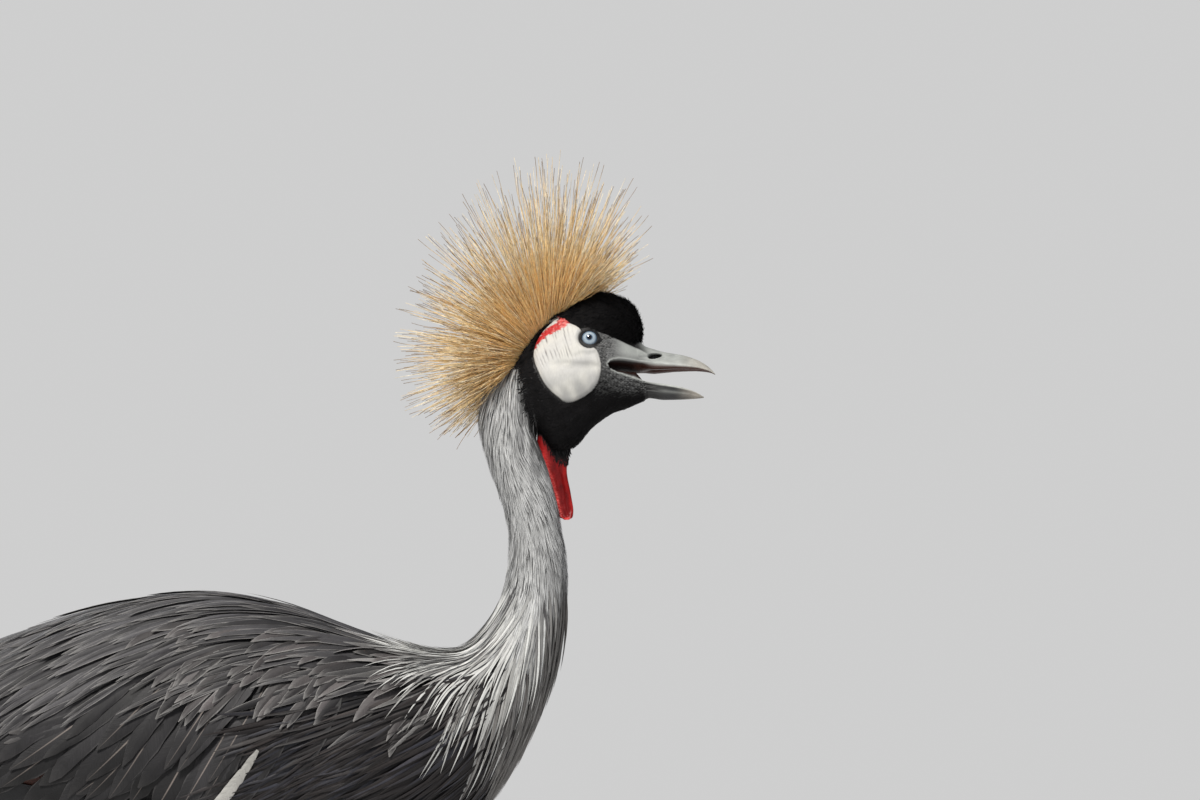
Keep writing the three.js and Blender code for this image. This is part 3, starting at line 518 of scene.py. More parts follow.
def lay(coat, surface, at, angle, base, heading=0.0, aim=None, curl=0.0, length=30.0, width=8.0, rows=8,
        columns=FLAT, outline=LANCE, levels=(-2.0, 1.0), camber=0.25, tilt=0.0, wave=0.0, tone=0.1,
        root_dark=0.6, **colours):
    """Lays feathers along a surface from their roots and adds them to a coat."""
    n = len(at)
    length = varied(length, n, 0.08, 0.75, 1.25)
    width = varied(width, n, 0.08, 0.75, 1.25)
    u = np.linspace(0, 1, rows)
    here, normal, way = walk(surface, at, angle, heading, length, rows, curl, aim)
    tilt = np.broadcast_to(tilt, n)[:, None, None]
    across = unit(np.cross(normal, way)) * np.cos(tilt) + normal * np.sin(tilt)
    low, high = (np.broadcast_to(level, n)[:, None] for level in levels)
    centre = here + normal * (low + (high - low) * u[None] ** 0.8)[..., None]
    if wave:
        phase = rng.uniform(0, 6.3, n)[:, None]
        swing = np.sin(u[None] * 5 + phase) - np.sin(phase)
        centre = centre + across * (swing * wave)[..., None]
    half = taper(width, outline, u)
    points = sheets(centre, across, normal, half, columns, camber)
    shade = rng.normal(1, tone, n).clip(0.6, 1.5)
    tint = feather_tint(base, u, columns, shade, root_dark, **colours)
    coat.add(points, tint, vanes(half, columns, length, u), unwrap(at, angle))


def tufts(coat, points, normals, ways, base, length, width, root, lift, bend, rows=3):
    """Short feathers that leave a surface at a slant and bend back towards it."""
    n = len(points)
    length = varied(length, n, 0.15, 0.6, 1.5)
    width = varied(width, n, 0.1, 0.7, 1.3)
    u = np.linspace(0, 1, rows)
    ways = unit(ways - dot(ways, normals) * normals)
    across, up = repeated(unit(np.cross(normals, ways)), rows), repeated(normals, rows)
    rise = length[:, None] * (lift * u - lift * bend * u**2) - TUFT_SINK
    centre = points[:, None] + ways[:, None] * (length[:, None] * u)[..., None] + up * rise[..., None]
    half = taper(width, TUFT, u)
    sheet = sheets(centre, across, up, half, FLAT, 0.2)
    shade = rng.normal(1, 0.12, n).clip(0.5, 1.6)
    tint = base[:, None, None] * shade[:, None, None, None]
    coat.add(sheet, tint, vanes(half, FLAT, length, u), root)


def staggered(surface, start, end, angles, spacing, seed, jitter=0.25):
    """Roots on both sides of the bird in offset rows over a range of a surface, about a spacing
    apart in millimetres."""
    draw = np.random.default_rng(seed)
    along, across = spacing

    def travelled(line):
        return np.concatenate([[0], np.cumsum(np.linalg.norm(np.diff(line, axis=0), axis=1))])

    fine = np.linspace(start, end, 400)
    turn = np.linspace(angles[0], angles[1], 90)
    distance = travelled(surface.point(fine, (angles[0] + angles[1]) / 2))
    ats, turns = [], []
    for i, mark in enumerate(np.arange(0, distance[-1], along)):
        at = np.interp(mark, distance, fine)
        reach = travelled(surface.point(at, turn))
        marks = np.arange((0.5 if i % 2 else 0.0) * across, reach[-1], across)
        marks = marks + draw.uniform(-jitter, jitter, len(marks)) * across
        turns.append(np.interp(marks, reach, turn))
        ats.append(np.full(len(marks), at) + draw.uniform(-jitter, jitter, len(marks)) * along / 20)
    at, angle = np.concatenate(ats), np.concatenate(turns)
    return np.concatenate([at, at]), np.concatenate([angle, -angle])


# Materials


class Nodes:
    """A material made from nodes, with its colour from the mesh's own tint."""

    def __init__(self, name, roughness, specular=0.5, **settings):
        self.material = bpy.data.materials.new(name)
        self.material.use_nodes = True
        self.tree = self.material.node_tree
        self.shader = self.tree.nodes["Principled BSDF"]
        settings |= {"Roughness": roughness, "Specular_IOR_Level": specular}
        for socket, value in settings.items():
            self.shader.inputs[socket.replace("_", " ")].default_value = value
        self.colour = self.add("Attribute", attribute_name="tint").outputs["Color"]

    def give(self, socket, value):
        """Links a node's output to an input, or sets its number."""
        if isinstance(value, bpy.types.NodeSocket):
            self.tree.links.new(value, socket)
        else:
            socket.default_value = value

    def add(self, kind, inputs=(), **settings):
        node = self.tree.nodes.new("ShaderNode" + kind)
        for key, value in settings.items():
            setattr(node, key, value)
        for key, value in dict(inputs).items():
            self.give(node.inputs[key], value)
        return node

    def place(self, scale, vane=False):
        """Coordinates in metres times a scale, from the object or from each feather."""
        if vane:
            output = self.add("UVMap", uv_map="Vane").outputs["UV"]
        else:
            output = self.add("TexCoord").outputs["Object"]
        return self.add("Mapping", {"Vector": output, "Scale": scale}).outputs[0]

    def noise(self, scale, size, detail=4, vane=False):
        inputs = {"Vector": self.place(scale, vane), "Scale": size, "Detail": detail, "Roughness": 0.6}
        return self.add("TexNoise", inputs).outputs["Fac"]

    def cells(self, scale, size):
        inputs = {"Vector": self.place(scale), "Scale": size}
        return self.add("TexVoronoi", inputs, feature="DISTANCE_TO_EDGE").outputs["Distance"]

    def remap(self, value, low, high, start, end):
        inputs = {"Value": value, "From Min": low, "From Max": high, "To Min": start, "To Max": end}
        return self.add("MapRange", inputs).outputs[0]

    def maths(self, operation, first, second):
        return self.add("Math", {0: first, 1: second}, operation=operation).outputs[0]

    def shade(self, value, low, high):
        """Multiplies the colour by a level that runs from low to high with a pattern."""
        inputs = {0: self.colour, "Scale": self.remap(value, 0.3, 0.7, low, high)}
        self.colour = self.add("VectorMath", inputs, operation="SCALE").outputs[0]

    def bump(self, value, distance, strength):
        inputs = {"Height": value, "Distance": distance, "Strength": strength}
        normal = self.shader.inputs["Normal"]
        if normal.is_linked:
            inputs["Normal"] = normal.links[0].from_socket
        self.give(normal, self.add("Bump", inputs).outputs[0])

    def rough(self, value, low, high):
        self.give(self.shader.inputs["Roughness"], self.remap(value, 0.3, 0.7, low, high))

    def done(self):
        self.give(self.shader.inputs["Base Color"], self.colour)
        return self.material


PLAIN = (1, 1, 1)


def feather_material(name, roughness, barb=1.0, specular=0.4, sheen=0.15):
    """Barbs that run out from the shaft at a slant, soft blotches, and a slight sheen."""
    m = Nodes(name, roughness, specular, Sheen_Weight=sheen, Sheen_Roughness=0.5)
    uv = m.add("UVMap", uv_map="Vane").outputs["UV"]
    split = m.add("SeparateXYZ", {"Vector": uv})
    across = m.maths("ABSOLUTE", split.outputs["X"], 0.0)
    slant = m.maths("SUBTRACT", split.outputs["Y"], m.maths("MULTIPLY", across, 1.2))
    join = m.add("CombineXYZ", {"X": slant, "Y": m.maths("MULTIPLY", across, 0.12)})
    fine = {"Vector": join.outputs[0], "Scale": 0.75, "Detail": 4.0, "Roughness": 0.75}
    barbs = m.add("TexNoise", fine).outputs["Fac"]
    blotch = m.noise(PLAIN, 60, 3)
    m.shade(barbs, 1 - 0.3 * barb, 1 + 0.3 * barb)
    m.shade(blotch, 0.9, 1.1)
    m.bump(barbs, 0.0004, 0.6 * barb)
    m.rough(blotch, roughness - 0.06, roughness + 0.08)
    return m.done()


def patterned(name, roughness, specular, layers, rough=None, vane=False, **settings):
    """A material from layers of noise, or of cells where the detail is None. Each layer is a
    stretch, a size, a detail, the two shades it runs between, and its bumps' depth and strength.
    rough is the number of the layer that the roughness follows, with its two ends."""
    m = Nodes(name, roughness, specular, **settings)
    patterns = []
    for stretch, size, detail, shades, bumps in layers:
        made = m.cells(stretch, size) if detail is None else m.noise(stretch, size, detail, vane)
        patterns.append(made)
        if shades:
            m.shade(made, *shades)
        if bumps:
            m.bump(made, *bumps)
    if rough:
        m.rough(patterns[rough[0]], *rough[1:])
    return m.done()


def scale_material():
    """Leg skin: small plates with dark joints, dusty on their crowns."""
    m = Nodes("Scaly skin", 0.5, 0.45)
    plates = m.cells((1, 1, 0.7), 330)
    dust = m.noise(PLAIN, 90)
    m.shade(m.remap(plates, 0, 0.25, 0.3, 0.7), 0.55, 1.15)
    m.shade(dust, 0.8, 1.25)
    m.bump(m.remap(plates, 0, 0.2, 0, 1), 0.0006, 0.7)
    m.rough(dust, 0.42, 0.6)
    return m.done()


# Pores, a soft stipple and creases.
SKIN_LAYERS = [
    (PLAIN, 900, None, None, (0.0002, 0.25)),
    (PLAIN, 120, 4, (0.93, 1.06), None),
    ((1, 1, 0.25), 700, 3, (0.95, 1.05), (0.0003, 0.3)),
]
# Long fine growth lines and faint blotches.
HORN_LAYERS = [
    ((0.22, 1, 1), 900, 3, (0.9, 1.08), (0.0002, 0.35)),
    (PLAIN, 170, 4, (0.86, 1.12), (0.0004, 0.25)),
]
# Wrinkles and warts.
WATTLE_LAYERS = [
    ((1, 1, 0.35), 420, 4, (0.78, 1.2), (0.0007, 0.6)),
    (PLAIN, 650, None, None, (0.0003, 0.4)),
]
RAYS = [((1, 0.2, 1), 1400, 2, (0.86, 1.12), None)]
BANDS = [((0.0, 1, 0), 0.35, 2, (0.74, 1.3), (0.0002, 0.2))]

SKIN = patterned("Skin", 0.6, 0.35, SKIN_LAYERS, (1, 0.5, 0.68))
HORN_MATERIAL = patterned("Horn", 0.42, 0.5, HORN_LAYERS, (1, 0.34, 0.55))
WATTLE_MATERIAL = patterned("Wattle skin", 0.4, 0.28, WATTLE_LAYERS, (0, 0.34, 0.52))
EYE_MATERIAL = patterned("Eye", 0.05, 0.5, RAYS, Coat_Weight=1.0, Coat_Roughness=0.02)
SCALES = scale_material()
BRISTLES = patterned("Bristles", 0.45, 0.5, BANDS, vane=True)
PLUMAGE = feather_material("Body feathers", 0.55, specular=0.28, sheen=0.06)
HAIRLIKE = feather_material("Hair-like feathers", 0.6, barb=0.7, sheen=0.1)
FLIGHT = feather_material("Flight feathers", 0.45, barb=0.8, sheen=0.06)
VELVET = feather_material("Velvet feathers", 0.85, barb=0.6, specular=0.15, sheen=0.0)


# Markings, which the skin and the coat share


def black_face(upright):
    """How much of the black head and throat lies at a point of the upright head and neck."""
    x, z = upright[..., 0], upright[..., 2]
    edge = np.interp(z, [712, 720, 735, 762, 788, 800, 812], [246, 228, 213, 203, 200, 192, 170])
    front = x - edge + ripple(upright, 9, 3) * 1.6 + ripple(upright * [1, 1, 0.25], 3, 4) * 1.8
    return ease(front, -7, 6) * ease(z, 708, 716)


def markings(at, angle, upright):
    """The plumage colour at a place of the body, with a painted shadow of the head on the neck."""
    at, angle = np.broadcast_arrays(at, angle)
    turn = off_top(angle)
    back = mix(SLATE_DARK, SLATE, ease(ripple(upright, 60, 5), -1, 1))
    lower = mix(BREAST, SLATE_DARK, ease(ripple(upright, 45, 6), -1, 1))
    trunk = mix(back, lower, ease(turn, 1.2, 2.3))
    neck = mix(NECK, NECK_DARK, 0.4 * ease(turn, 2.5, 3.1) * ease(at, 13, 15))
    streak = ease(ripple(upright * [1, 1, 0.15], 5, 8), -0.6, 0.8)
    # Painted shadow of the head: darker streaks on the neck below and behind the cheek.
    shade = ease(upright[..., 0], 186, 206) * (1 - ease(upright[..., 2], 762, 784))
    shade = shade * ease(upright[..., 2], 700, 732) * ease(at, 17, 18.5)
    neck = mix(neck, NECK_DARK * 0.6, 0.8 * shade * streak)
    neck = neck * (1 + 0.1 * ripple(upright, 14, 7))[..., None]
    colour = mix(trunk, neck, ease(at, 10.9, 12.6))
    return mix(colour, BLACK, black_face(upright) * ease(at, 17, 19))


# Skin


def line_distance(line, x, z):
    """Distance to a line in the side view."""
    start, way = line[:-1], np.diff(line, axis=0)
    px, pz = x[..., None] - start[:, 0], z[..., None] - start[:, 1]
    share = np.clip((px * way[:, 0] + pz * way[:, 1]) / (way**2).sum(1), 0, 1)
    return np.hypot(px - share * way[:, 0], pz - share * way[:, 1]).min(-1)


def cheek_distance(x, z):
    """Distance to the cheek's smooth outline in the side view, above zero inside it."""
    span = 12
    line = curve([*CHEEK[-2:], *CHEEK, *CHEEK[:2]], span)[2 * span : -2 * span]
    gap = line_distance(line, x, z)
    start, way = line[:-1], np.diff(line, axis=0)
    pz = z[..., None]
    above = (start[:, 1] > pz) != (line[1:, 1] > pz)
    rise = np.where(way[:, 1] == 0, 1e-9, way[:, 1])
    left = x[..., None] < start[:, 0] + (pz - start[:, 1]) * way[:, 0] / rise
    inside = (above & left).sum(-1) % 2 == 1
    return np.where(inside, gap, -gap)


def lips_at(at):
    return [np.interp(at, MOUTH_AT, np.radians(lip)) for lip in (UPPER_LIP, LOWER_LIP)]


# Places in the side view: the cheek's pouch, its fold, the crease above that, and its streaks.
POUCH_X, POUCH_Z = 240, 776
FOLD_X, FOLD_Z = 240, 789
CREASE_X, CREASE_Z = 244, 796.5
STREAK_X, STREAK_Z = 214, 800


def face(upright):
    """Raises the cheek from the head, and colours the face."""
    x, z = upright[..., 0], upright[..., 2]
    side = ease(np.abs(upright[..., 1]), 3, 7)
    near_eye = np.hypot(x - EYE[0], z - EYE[2])
    inside = cheek_distance(x, z)
    pouch = 1 - ease(np.hypot((x - POUCH_X) / 20, (z - POUCH_Z) / 15), 0, 1)
    wavy = 0.7 * ripple(upright, 9, 27)
    fold = bell(z - FOLD_Z + (x - FOLD_X) * 0.05 + wavy, 2.6) * ease(x, 216, 240)
    crease = bell(z - CREASE_Z - (x - CREASE_X) * 0.16 + wavy, 1.7) * ease(x, 234, 248)
    above = z - STREAK_Z
    place = (x - STREAK_X) * 0.92 + above * 0.3 - (above / 14) ** 2
    streaks = np.sin(place * 2.5 + 2.3 * np.sin(place * 0.31 + 1) + 0.5 * np.sin(z * 0.21))
    streaks = ease(streaks, 0.4, 0.95) * ease(ripple(upright * [1, 1, 0.2], 5, 26), -0.7, 0.9)
    high = ease(z, 789, 800) * (1 - ease(x + above * 0.3, 236, 250))
    streaks = streaks * np.maximum(high, 0.8 * ease(z, 768, 786) * (1 - ease(x, 216, 224)))
    height = 1.5 + 1.2 * pouch - 1.1 * fold - 0.5 * crease - 0.35 * streaks
    height = ease(inside, -0.6, 3.2) * side * height * ease(near_eye, 8.5, 11)

    # Painted shade: grey in the fold and the crease and over the lower cheek, which turns away from the
    # light above.
    painted_shade_share = 0.5 * fold + 0.25 * crease + 0.8 * (1 - ease(z, 762, 792))
    white = mix(CHEEK_WHITE, srgb(138, 138, 136), painted_shade_share)
    white = mix(white, srgb(206, 204, 196), 0.5 * ease(ripple(upright, 16, 28), -0.6, 0.9))
    white = mix(white, srgb(104, 100, 100), 0.9 * streaks)
    band = line_distance(np.array(RED_LINE), x, z) + 0.75 * ripple(upright, 2.8, 21)
    red = 1 - ease(band - 1.3 * ease(x, 228, 234), 2.7, 3.6)
    red = red * (1 - 0.75 * ease(ripple(upright, 3.0, 29), 0.75, 1.1))
    scarlet = mix(SCARLET, SCARLET * 0.5, ease(ripple(upright, 2.0, 25), 0.1, 0.9))
    faded = 0.7 * ease(ripple(upright, 3.2, 22) + (x - 228) / 8, 0, 1.4)
    patch = mix(white, mix(scarlet, srgb(212, 128, 124), faded), red)

    lore = ease(x, 253, 260) * (1 - ease(z - np.interp(x, *LORE_LINE), -1.5, 1.0))
    lore = lore * ease(z - (x - 270) * 0.1, 762, 772) * side
    specks = ripple(upright, 1.5, 23, 9) * 0.4 + ripple(upright, 1.15, 24, 9) * 0.6
    specks = specks * (1 - 0.85 * ease(x, 266, 282) * ease(z, 788, 796))
    grey = mix(LORE * 0.25, LORE * 1.2, ease(specks, -0.8, 1.0))
    grey = mix(grey * 0.36, grey, ease(z, 766, 800))
    grey = grey * np.interp(x, [256, 268, 280], [0.5, 0.7, 1.0])[..., None]
    grey = mix(grey, BILL_GREY, ease(x, 270, 284) * ease(z, 794, 802) * 0.8)
    near_lid = 1 - ease(near_eye, 8.2, 9.4)
    colour = mix(mix(BLACK, grey, lore), BLACK, near_lid)
    colour = mix(colour, patch, ease(inside, -0.2, 0.5) * side * (1 - near_lid))
    return height + lore * 0.16 * specks, colour


def skin():
    """One closed sheet from the rump over the neck and head, round the lips and into the mouth.
    It returns the edges that the two halves of the bill start from."""
    mouth = MOUTH_AT[0]
    places = (np.linspace(RUMP, 12, 40)[:-1], np.linspace(12, 21.5, 80)[:-1], np.linspace(21.5, mouth, 140))
    step = np.linspace(0, 1, 42) ** 1.5
    face_at = mouth + (BILL_ROOT - mouth) * step

    def arcs(at):
        """The angles above the mouth and below it."""
        up, down = (lip[:, None] for lip in lips_at(at))
        return np.linspace(-1, 1, 193) * up, down + np.linspace(0, 1, 121) * (TURN - 2 * down)

    def part(at, angle, closed=False):
        at = np.broadcast_to(at[:, None], angle.shape)
        upright = flesh.point(at, angle, upright=True)
        height, face_colour = face(upright)
        shown = ease(at, 22, 24)
        bare = ease(face_colour.sum(-1), 0.05, 0.3)
        hollow = -1.2 - 1.8 * (1 - ease(at, 21, 23))
        out = hollow * (1 - bare * shown) + height * shown
        # Painted shade: where feathers cover it the skin is darker than the plumage over it, so gaps
        # between the feathers look deep.
        face_colour = face_colour * (0.45 + 0.55 * bare)[..., None]
        colour = mix(markings(at, angle, upright) * 0.6, face_colour, shown)
        gap = np.min([np.abs(off_top(angle) - lip) for lip in lips_at(at)], axis=0) * 26
        rim = bell(np.hypot(gap, np.maximum(mouth - at, 0) * 12), 0.9) * shown
        colour = mix(colour, BILL_GREY * 1.15, 0.75 * rim)
        return flesh.point(at, angle, out + 0.35 * rim), colour, quads(*angle.shape, closed), at, angle

    whole_at = np.concatenate(places)
    upper, lower = arcs(whole_at)
    parts = [part(whole_at, np.hstack([upper, lower[:, 1:-1]]), True)]
    parts += [part(face_at, angle) for angle in arcs(face_at)]
    across = np.linspace(-1, 1, 15)
    depth = 1 - across**2
    roof = np.interp(step, [0, 0.05, 0.3, 0.7, 1], [0, -1.5, -4, -5, -4.9])
    floor = np.interp(step, [0, 0.05, 0.25, 0.66, 0.84, 1], [0, 2, 6, 8, 4, -2])
    for edges, rise, left, red in ((parts[1][0], roof, 0, 0.7), (parts[2][0], floor, -1, 0.3)):
        share = ((across + 1) / 2)[None, :, None]
        lining = edges[:, left][:, None] * (1 - share) + edges[:, -1 - left][:, None] * share
        lining[..., 2] += rise[:, None] * depth
        lining[..., 0] -= 10 * depth * (1 - ease(step, 0, 0.4)[:, None])
        grid = lining.shape[:2]
        inward = ease(depth, 0.05, 0.5) * np.ones(grid)
        tint = mix(LORE * 0.3, MOUTH * 0.22, inward)
        tint = mix(tint, MOUTH * red, inward * ease(step, 0.6, 1)[:, None])
        turn = np.broadcast_to(np.pi * (1 + 0.1 * across), grid)
        parts.append((lining, tint, quads(*grid), np.broadcast_to(face_at[:, None], grid), turn))
    ring, ring_tint, _, at, angle = (grid[:1] for grid in parts[0])
    end = np.broadcast_to(ring.mean(1, keepdims=True), ring.shape)
    twice = [np.repeat(grid, 2, axis=0) for grid in (ring_tint, at, angle)]
    parts.append((np.concatenate([end, ring]), twice[0], quads(2, ring.shape[1], True), *twice[1:]))

    points, tint = (np.concatenate([part[i].reshape(-1, 3) for part in parts]) for i in (0, 1))
    start = np.cumsum([0] + [part[3].size for part in parts])
    faces = np.concatenate([part[2] + first for part, first in zip(parts, start)])
    bake = np.concatenate([unwrap(part[3], part[4]).reshape(-1, 2) for part in parts])
    _, first, weld = np.unique(np.round(points, 3), axis=0, return_index=True, return_inverse=True)
    names = ["head", "neck_base", "neck_lower", "neck_upper", "torso"]
    names += ["cheek_right", "cheek_left", "cheek_red_right", "cheek_red_left"]
    piece("skin", points[first], weld.ravel()[faces], tint[first], SKIN, "slate", names, bake=bake[first])
    return [[grid[-1] for part in (parts[i], parts[i + 2]) for grid in part[:2]] for i in (1, 2)]


# Bill


def bill_half(name, stations, lower, node, base):
    """One half of the bill: smooth horn outside, and a hollow lined palate or trough. Its first
    ring lies on the edge of the face and of the mouth's lining."""
    flip = 1 if lower else -1
    outer, outer_tint, lining, lining_tint = base
    lining, lining_tint = (grid[1:-1][::flip] for grid in (lining, lining_tint))
    table = curve([[10 * i, *row] for i, row in enumerate(stations)], 14)
    start = roll(np.concatenate([outer, lining]), -1)
    x = start[:, 0] + (stations[-1][0] - start[:, 0]) * np.linspace(0, 1, 72)[:, None] ** 1.1
    count = len(outer)
    turn = np.linspace(-np.pi / 2, np.pi / 2, count) * flip
    inner = np.linspace(1, -1, len(lining) + 2)[1:-1] * flip
    rim = 1 - np.abs(inner)
    keel = bell(inner, 0.22)
    bulge = np.abs(np.cos(turn)) ** (0.86 if lower else 0.92)

    def section(x):
        ridge, edge, half = (np.interp(x, table[:, 1], table[:, i]) for i in (2, 3, 4))
        if lower:
            depth = np.minimum(rim * 4, 1) * 0.42 - keel * 0.1 + 0 * x[..., count:]
        else:
            pad = np.interp(x[..., count:], [285, 299, 319, 339, 350], [5, 4.9, 2.5, 1.2, 0.2])
            depth = (0.5 * keel - 1) * ease(rim, 0, 0.25) * pad / ((ridge - edge)[..., count:] + 0.2)
        y = half * np.concatenate([np.sin(turn), 0.97 * inner])
        rise = np.concatenate([bulge + 0 * half[..., :count], depth], axis=-1)
        return stack(x, y, edge + (ridge - edge) * rise), edge, ridge

    points, edge, ridge = section(x)
    run = x - start[:, 0]
    points = points + (start - section(start[:, 0])[0]) * (1 - ease(run, 0, 12))[..., None]
    px, pz = points[..., 0], points[..., 2]
    inside = np.concatenate([np.zeros(count), ease(rim, 0.03, 0.16)]) + 0 * x
    tip = ease(px, 318, 340 if lower else 346)
    up = np.clip((pz - edge) / (ridge - edge + 1e-6), 0, 1)
    if lower:
        # Painted highlight: a paler streak along the middle of the lower bill's side.
        horn = mix(BILL_DARK * 0.5, BILL_GREY * 0.34, bell(up, 0.12, 0.52) * ease(px, 294, 314))
        grain = ease(ripple(points, 1.9, 23, 9), -0.6, 0.9) * (1 - ease(px, 288, 304))
        horn = mix(horn, LORE * 0.7, 0.7 * grain)
        horn = mix(horn, BILL_GREY * 1.3, (1 - ease(up, 0.06, 0.19)) * 0.95)
    else:
        horn = mix(BILL_GREY, BILL_GREY * 0.86, ease(up, 0.2, 0.8))
        horn = mix(horn, BILL_GREY * 1.3, (1 - ease(up, 0.06, 0.2)) * (1 - tip))
    horn = mix(horn, HORN, tip * 0.6)
    horn = horn * (1 + 0.1 * ripple(points * [0.5, 1, 1], 6, 31))[..., None]
    tint = mix(horn, MOUTH * 0.8, inside)
    tint = mix(np.concatenate([outer_tint, lining_tint]), tint, ease(run, 0, 15))
    if not lower:
        ahead = px - NOSTRIL["x"]
        u = ahead / (NOSTRIL["length"] / 2)
        lift = pz - NOSTRIL["z"] - NOSTRIL["tilt"] * ahead
        v = lift / (NOSTRIL["height"] / 2 * (1 - 0.25 * u))
        hole = (1 - ease(np.hypot(u, v), 0.62, 1.0)) * (1 - inside)
        # Painted shade: the nostril's opening is near black.
        tint = mix(tint, BLACK * 0.4, ease(hole, 0.15, 0.6))
        groove = bell(lift + 0.2, 1.5) * (1 - ease(px, 306, 326)) * ease(px, 284, 294)
        points[..., 1] *= (1 - 0.66 * hole) * (1 - 0.1 * groove * (1 - inside))
    sunk = points[:1] - [1.2, 0, 0] + unit(points[:1].mean(1, keepdims=True) - points[:1]) * 0.2
    whole, faces = capped(roll(np.concatenate([sunk, points])))
    piece(name, whole, faces, np.concatenate([tint[:1], capped_tint(tint)]), HORN_MATERIAL, "bill", [node])


# Eyes


def eyeball(name, side):
    """A glossy ball: a dark pupil with a blue halo, a pale blue iris and a dark rim."""
    polar = np.concatenate([np.linspace(0, 60, 90), np.linspace(62, 175, 30)])
    turn = around(72)
    radius = (EYE_RADIUS + 0.55 * bell(polar, 34))[:, None]
    p = np.radians(polar)[:, None]
    ball = stack(radius * np.sin(p) * np.cos(turn), -radius * np.cos(p), radius * np.sin(p) * np.sin(turn))
    r = EYE_RADIUS * np.sin(p) + 0 * turn
    fleck = 0.16 * np.sin(turn * 23 + 1.3) + 0.12 * np.sin(turn * 41)
    dark = srgb(9, 11, 16)
    colour = mix(srgb(4, 5, 10), srgb(74, 94, 118), ease(r, 1.6, 1.9))
    colour = mix(colour, srgb(158, 174, 186), ease(r + fleck * 0.6, 2.1, 2.8))
    colour = mix(colour, srgb(92, 112, 132), ease(r + fleck, 4.1, 5.1))
    colour = mix(colour, dark, ease(r, 5.4, 5.9))
    colour = np.where((polar > 75)[:, None, None], dark, colour)
    whole, faces = capped(roll((ball + EYE) * [1, side, 1]))
    piece(f"eye_{name}_ball", whole, faces, capped_tint(colour), EYE_MATERIAL, "eye", ["eye_" + name])


LID_RADII = [5.8, 5.9, 6.1, 6.6, 7.2, 7.8, 8.5, 9.2, 9.8]
LID_DEPTHS = [4.6, 5.6, 6.0, 6.05, 5.6, 4.7, 3.3, 1.4, -2.5]


def eyelids(name, side):
    """The dark ring of lid skin: an oval with a corner to the front and one to the rear."""
    turn = around(96)
    corner, rear = (np.exp(-((np.mod(turn + at, TURN) - np.pi) ** 2) / 0.05) for at in (0.12 + np.pi, 0.12))
    profile = curve(stack(LID_RADII, LID_DEPTHS), 4)
    radius, depth = profile[:, :1], profile[:, 1:]
    below = np.maximum(-np.sin(turn), 0)
    widen = (2.6 * corner + 0.8 * rear + 0.7 * below) * ease(radius, 6.0, 7.6)
    r = radius + widen
    depth = depth + 0.14 * np.sin(radius * 5.2 + 0.5 * np.sin(turn * 2))
    upper = 0.95 + 0.03 * np.cos(2 * turn)
    ring = (stack(r * np.cos(turn), -depth, r * np.sin(turn) * upper) + EYE) * [1, side, 1]
    skin_tint = srgb(9, 10, 13)
    dusky = mix(skin_tint, srgb(66, 72, 80), 0.5 + 0.5 * ripple(ring, 2.2, 41))
    tint = mix(skin_tint, dusky, ease(radius + 0 * turn, 7.8, 8.8))
    piece("eyelids_" + name, roll(ring), quads(*ring.shape[:2], True), tint, SKIN, "black")


# Cap and velvet


def scattered(points, count, seed):
    """Random places on a grid of points, even by area: their cells and the shares inside them."""
    draw = np.random.default_rng(seed)
    one = points[1:, :-1] - points[:-1, :-1]
    two = points[:-1, 1:] - points[:-1, :-1]
    area = np.linalg.norm(np.cross(one, two), axis=-1)
    chosen = draw.choice(area.size, count, p=(area / area.sum()).ravel())
    return *np.unravel_index(chosen, area.shape), draw.uniform(0, 1, count), draw.uniform(0, 1, count)


def pick(grid, row, column, v, u):
    """Values of a grid at places inside its cells."""
    u, v = (share.reshape(-1, *[1] * (grid.ndim - 2)) for share in (u, v))
    top = grid[row, column] * (1 - u) + grid[row, column + 1] * u
    foot = grid[row + 1, column] * (1 - u) + grid[row + 1, column + 1] * u
    return top * (1 - v) + foot * v


CAP_EDGE = [[230, 250, 259.6, 269.5, 282, 294.3], [829, 822, 818, 814, 808.5, 804]]
CAP_SHOWN = [[206, 230, 250, 259.6, 282, 294.3], [820, 829, 821, 817, 808, 802]]
BROW_LEAN = math.radians(29)


